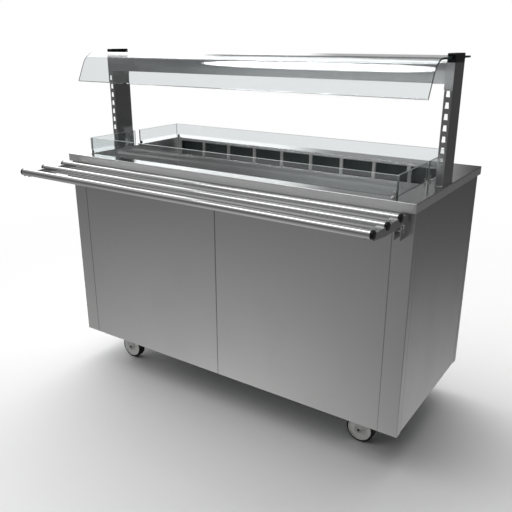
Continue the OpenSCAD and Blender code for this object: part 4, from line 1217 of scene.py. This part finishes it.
@dataclass
class Studio:
    """Floor, room light, lamp and camera.

    Levels are shares of white. The light on the counter comes from the left, the rear and above.
    What metal mirrors of the room and of the floor has levels of its own.
    """

    floor_half: float = 30.0
    floor_tone: float = 0.93
    white_from: float = 2.3
    lamp_x: float = -0.468
    lamp_rise: float = 1.86
    lamp_half: tuple[float, float] = (0.158, 0.35)
    lamp_level: float = 2.2
    lamp_in_glass: float = 14.0
    lens: float = 43.364
    eye: Triple = (1.26971, -1.81095, 1.32944)
    pitch: float = -19.43
    yaw: float = 34.07

    def make(self) -> None:
        """Builds the studio."""
        self.camera()
        self.floor()
        self.world()
        self.lamp("key", (-1.2, 1.0, 3.4), (2.2, 1.6), 18.0, (0.0, 0.0, 0.6))
        bpy.context.scene.view_settings.view_transform = "Standard"

    def camera(self) -> None:
        """The camera, where the photograph was taken."""
        data = bpy.data.cameras.new("camera")
        data.lens, data.sensor_width, data.clip_end = self.lens, 36.0, 200.0
        camera = bpy.data.objects.new("camera", data)
        camera.location = self.eye
        camera.rotation_euler = (math.radians(90 + self.pitch), 0.0, math.radians(self.yaw))
        bpy.context.scene.collection.objects.link(camera)
        bpy.context.scene.camera = camera

    def lamp(self, name: str, place: Sequence[float], size: Sequence[float], power: float,
             target: Sequence[float]) -> None:
        """A rectangular lamp that nothing mirrors.

        Args:
            name: Its name.
            place: Where it hangs.
            size: Its length and width.
            power: Watts.
            target: The point it faces.
        """
        data = bpy.data.lights.new(name, "AREA")
        data.shape, data.size, data.size_y, data.energy = "RECTANGLE", size[0], size[1], power
        lamp = bpy.data.objects.new(name, data)
        lamp.location = place
        lamp.visible_glossy = False
        lamp.rotation_euler = (Vector(target) - Vector(place)).to_track_quat("-Z", "Y").to_euler()
        bpy.context.scene.collection.objects.link(lamp)

    def floor(self) -> None:
        """A pale floor that turns white far off and keeps the shadow.

        To metal its light falls off with the distance, by a power of e, and is nearly nothing
        under the counter. It grows again at the rear left. Clear glass also sees it pale in front,
        but not at the far left.
        """
        r = self.floor_half
        mesh = bpy.data.meshes.new("floor")
        mesh.from_pydata([(-r, -r, 0), (r, -r, 0), (r, r, 0), (-r, r, 0)], [], [(0, 1, 2, 3)])
        floor = bpy.data.objects.new("floor", mesh)
        bpy.context.scene.collection.objects.link(floor)
        paint, made = Paint.material("floor")
        seen, glossy, clear = paint.views()
        length = paint.node("ShaderNodeVectorMath", {"operation": "LENGTH"}, {0: paint.place()})
        far = Wire(paint, length.outputs["Value"])
        x, y = paint.along(0), paint.along(1)
        behind = (0.0 - x).above(2.0, 1.0) * y.above(0.5, 0.8)
        front = (0.0 - y).above(0.5, 0.9)
        base = 0.08 + front * 0.1
        fall = 2.72 ** (0.5 - far) * (0.55 - front * (0.17 + x * 0.3))
        under = (1.0 - (x * x).above(0.5, 0.12)) * (1.0 - ((y - 0.11) * (y - 0.11)).above(0.11, 0.05))
        mirror = (base + fall + behind * (1.6 - fall)) * (1.0 - under * 0.96)
        pale = (1.0 - (0.0 - x).turn(0.0 - y).above(0.68, 0.13)) * front * 0.95
        diffuse = paint.node("ShaderNodeBsdfDiffuse", None, {"Color": (self.floor_tone,) * 3})
        white = paint.node("ShaderNodeEmission", None, {"Strength": 1.0})
        both = paint.node("ShaderNodeMixShader", None,
                          {0: far.above(self.white_from, 1.0) * seen, 1: diffuse.outputs[0],
                           2: white.outputs[0]})
        dim = paint.node("ShaderNodeEmission", None, {"Strength": mirror + clear * pale})
        mixed = paint.node("ShaderNodeMixShader", None,
                           {0: glossy, 1: both.outputs[0], 2: dim.outputs[0]})
        paint.node("ShaderNodeOutputMaterial", None, {"Surface": mixed.outputs[0]})
        mesh.materials.append(made)

    def world(self) -> None:
        """The room: white to the eye and through glass.

        Metal sees a dark room with a low white wall behind, a tall one behind at the left and a
        round lamp overhead. The lamp fills an oval in x and in the angle p = atan2(z, y): with
        u = (x - x0) / a and v = (p - p0) / b it lies where u ** 4 + v ** 2 < 1 for clear glass,
        and u ** 4 + 2.2 * v ** 2 < 1 for metal.
        """
        world = bpy.data.worlds.new("world")
        world.use_nodes = True
        bpy.context.scene.world = world
        paint = Paint(world.node_tree)
        seen, glossy, clear = paint.views()
        way = paint.node("ShaderNodeTexCoord").outputs["Generated"]
        split = paint.node("ShaderNodeSeparateXYZ", None, {0: way})
        x, y, z = (Wire(paint, output) for output in split.outputs)
        heading = (0.0 - x).turn(y)
        rise = z.turn(y)
        low = (1.0 - heading.above(1.3, 0.2)) * (1.0 - z.above(0.27, 0.05))
        wall = (heading.above(0.28, 0.04) * 0.4 + heading.above(0.515, 0.05) * 1.3) * low
        tall = (0.0 - x).above(0.625, 0.03) * y.above(0.1, 0.06) * z.above(0.25, 0.05) * 1.9
        u, v = (x - self.lamp_x) / self.lamp_half[0], (rise - self.lamp_rise) / self.lamp_half[1]
        lamp = 1.0 - (u * u * u * u + v * v * (2.2 - clear * 1.2)).above(1.0, 0.1)
        soft = (0.0 - y).above(0.2, 0.5) * 0.09 + z.above(0.45, 0.2) * 0.45
        metal = 0.07 + soft + wall + tall + lamp * (self.lamp_level + clear * self.lamp_in_glass)
        room = 0.03 + (z * 0.42 + y * 0.42 - x * 0.86).above(0.45, 0.55) * z.above(0.2, 0.15) * 2.3
        level = seen + (1.0 - seen) * (glossy * metal + (1.0 - glossy) * room)
        back = paint.node("ShaderNodeBackground", None, {"Color": (1.0, 1.0, 1.0), "Strength": level})
        paint.node("ShaderNodeOutputWorld", None, {"Surface": back.outputs[0]})


def main() -> None:
    """Builds the counter and the studio."""
    logging.basicConfig(level=logging.INFO, format="%(name)s %(message)s")
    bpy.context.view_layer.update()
    Carcass().make()
    Well().make()
    GlassUpstand().make()
    Gantry().make()
    TraySlide().make()
    soften("castor_plates", ZINC, 0.6, 3)
    for place, pedal in (("front_left", None), ("front_right", None), ("rear_left", "left_brake"),
                         ("rear_right", "right_brake")):
        Castor(place, pedal).make()
    RearFace().make()
    Plant().make()
    Studio().make()


if __name__ == "__main__":
    main()
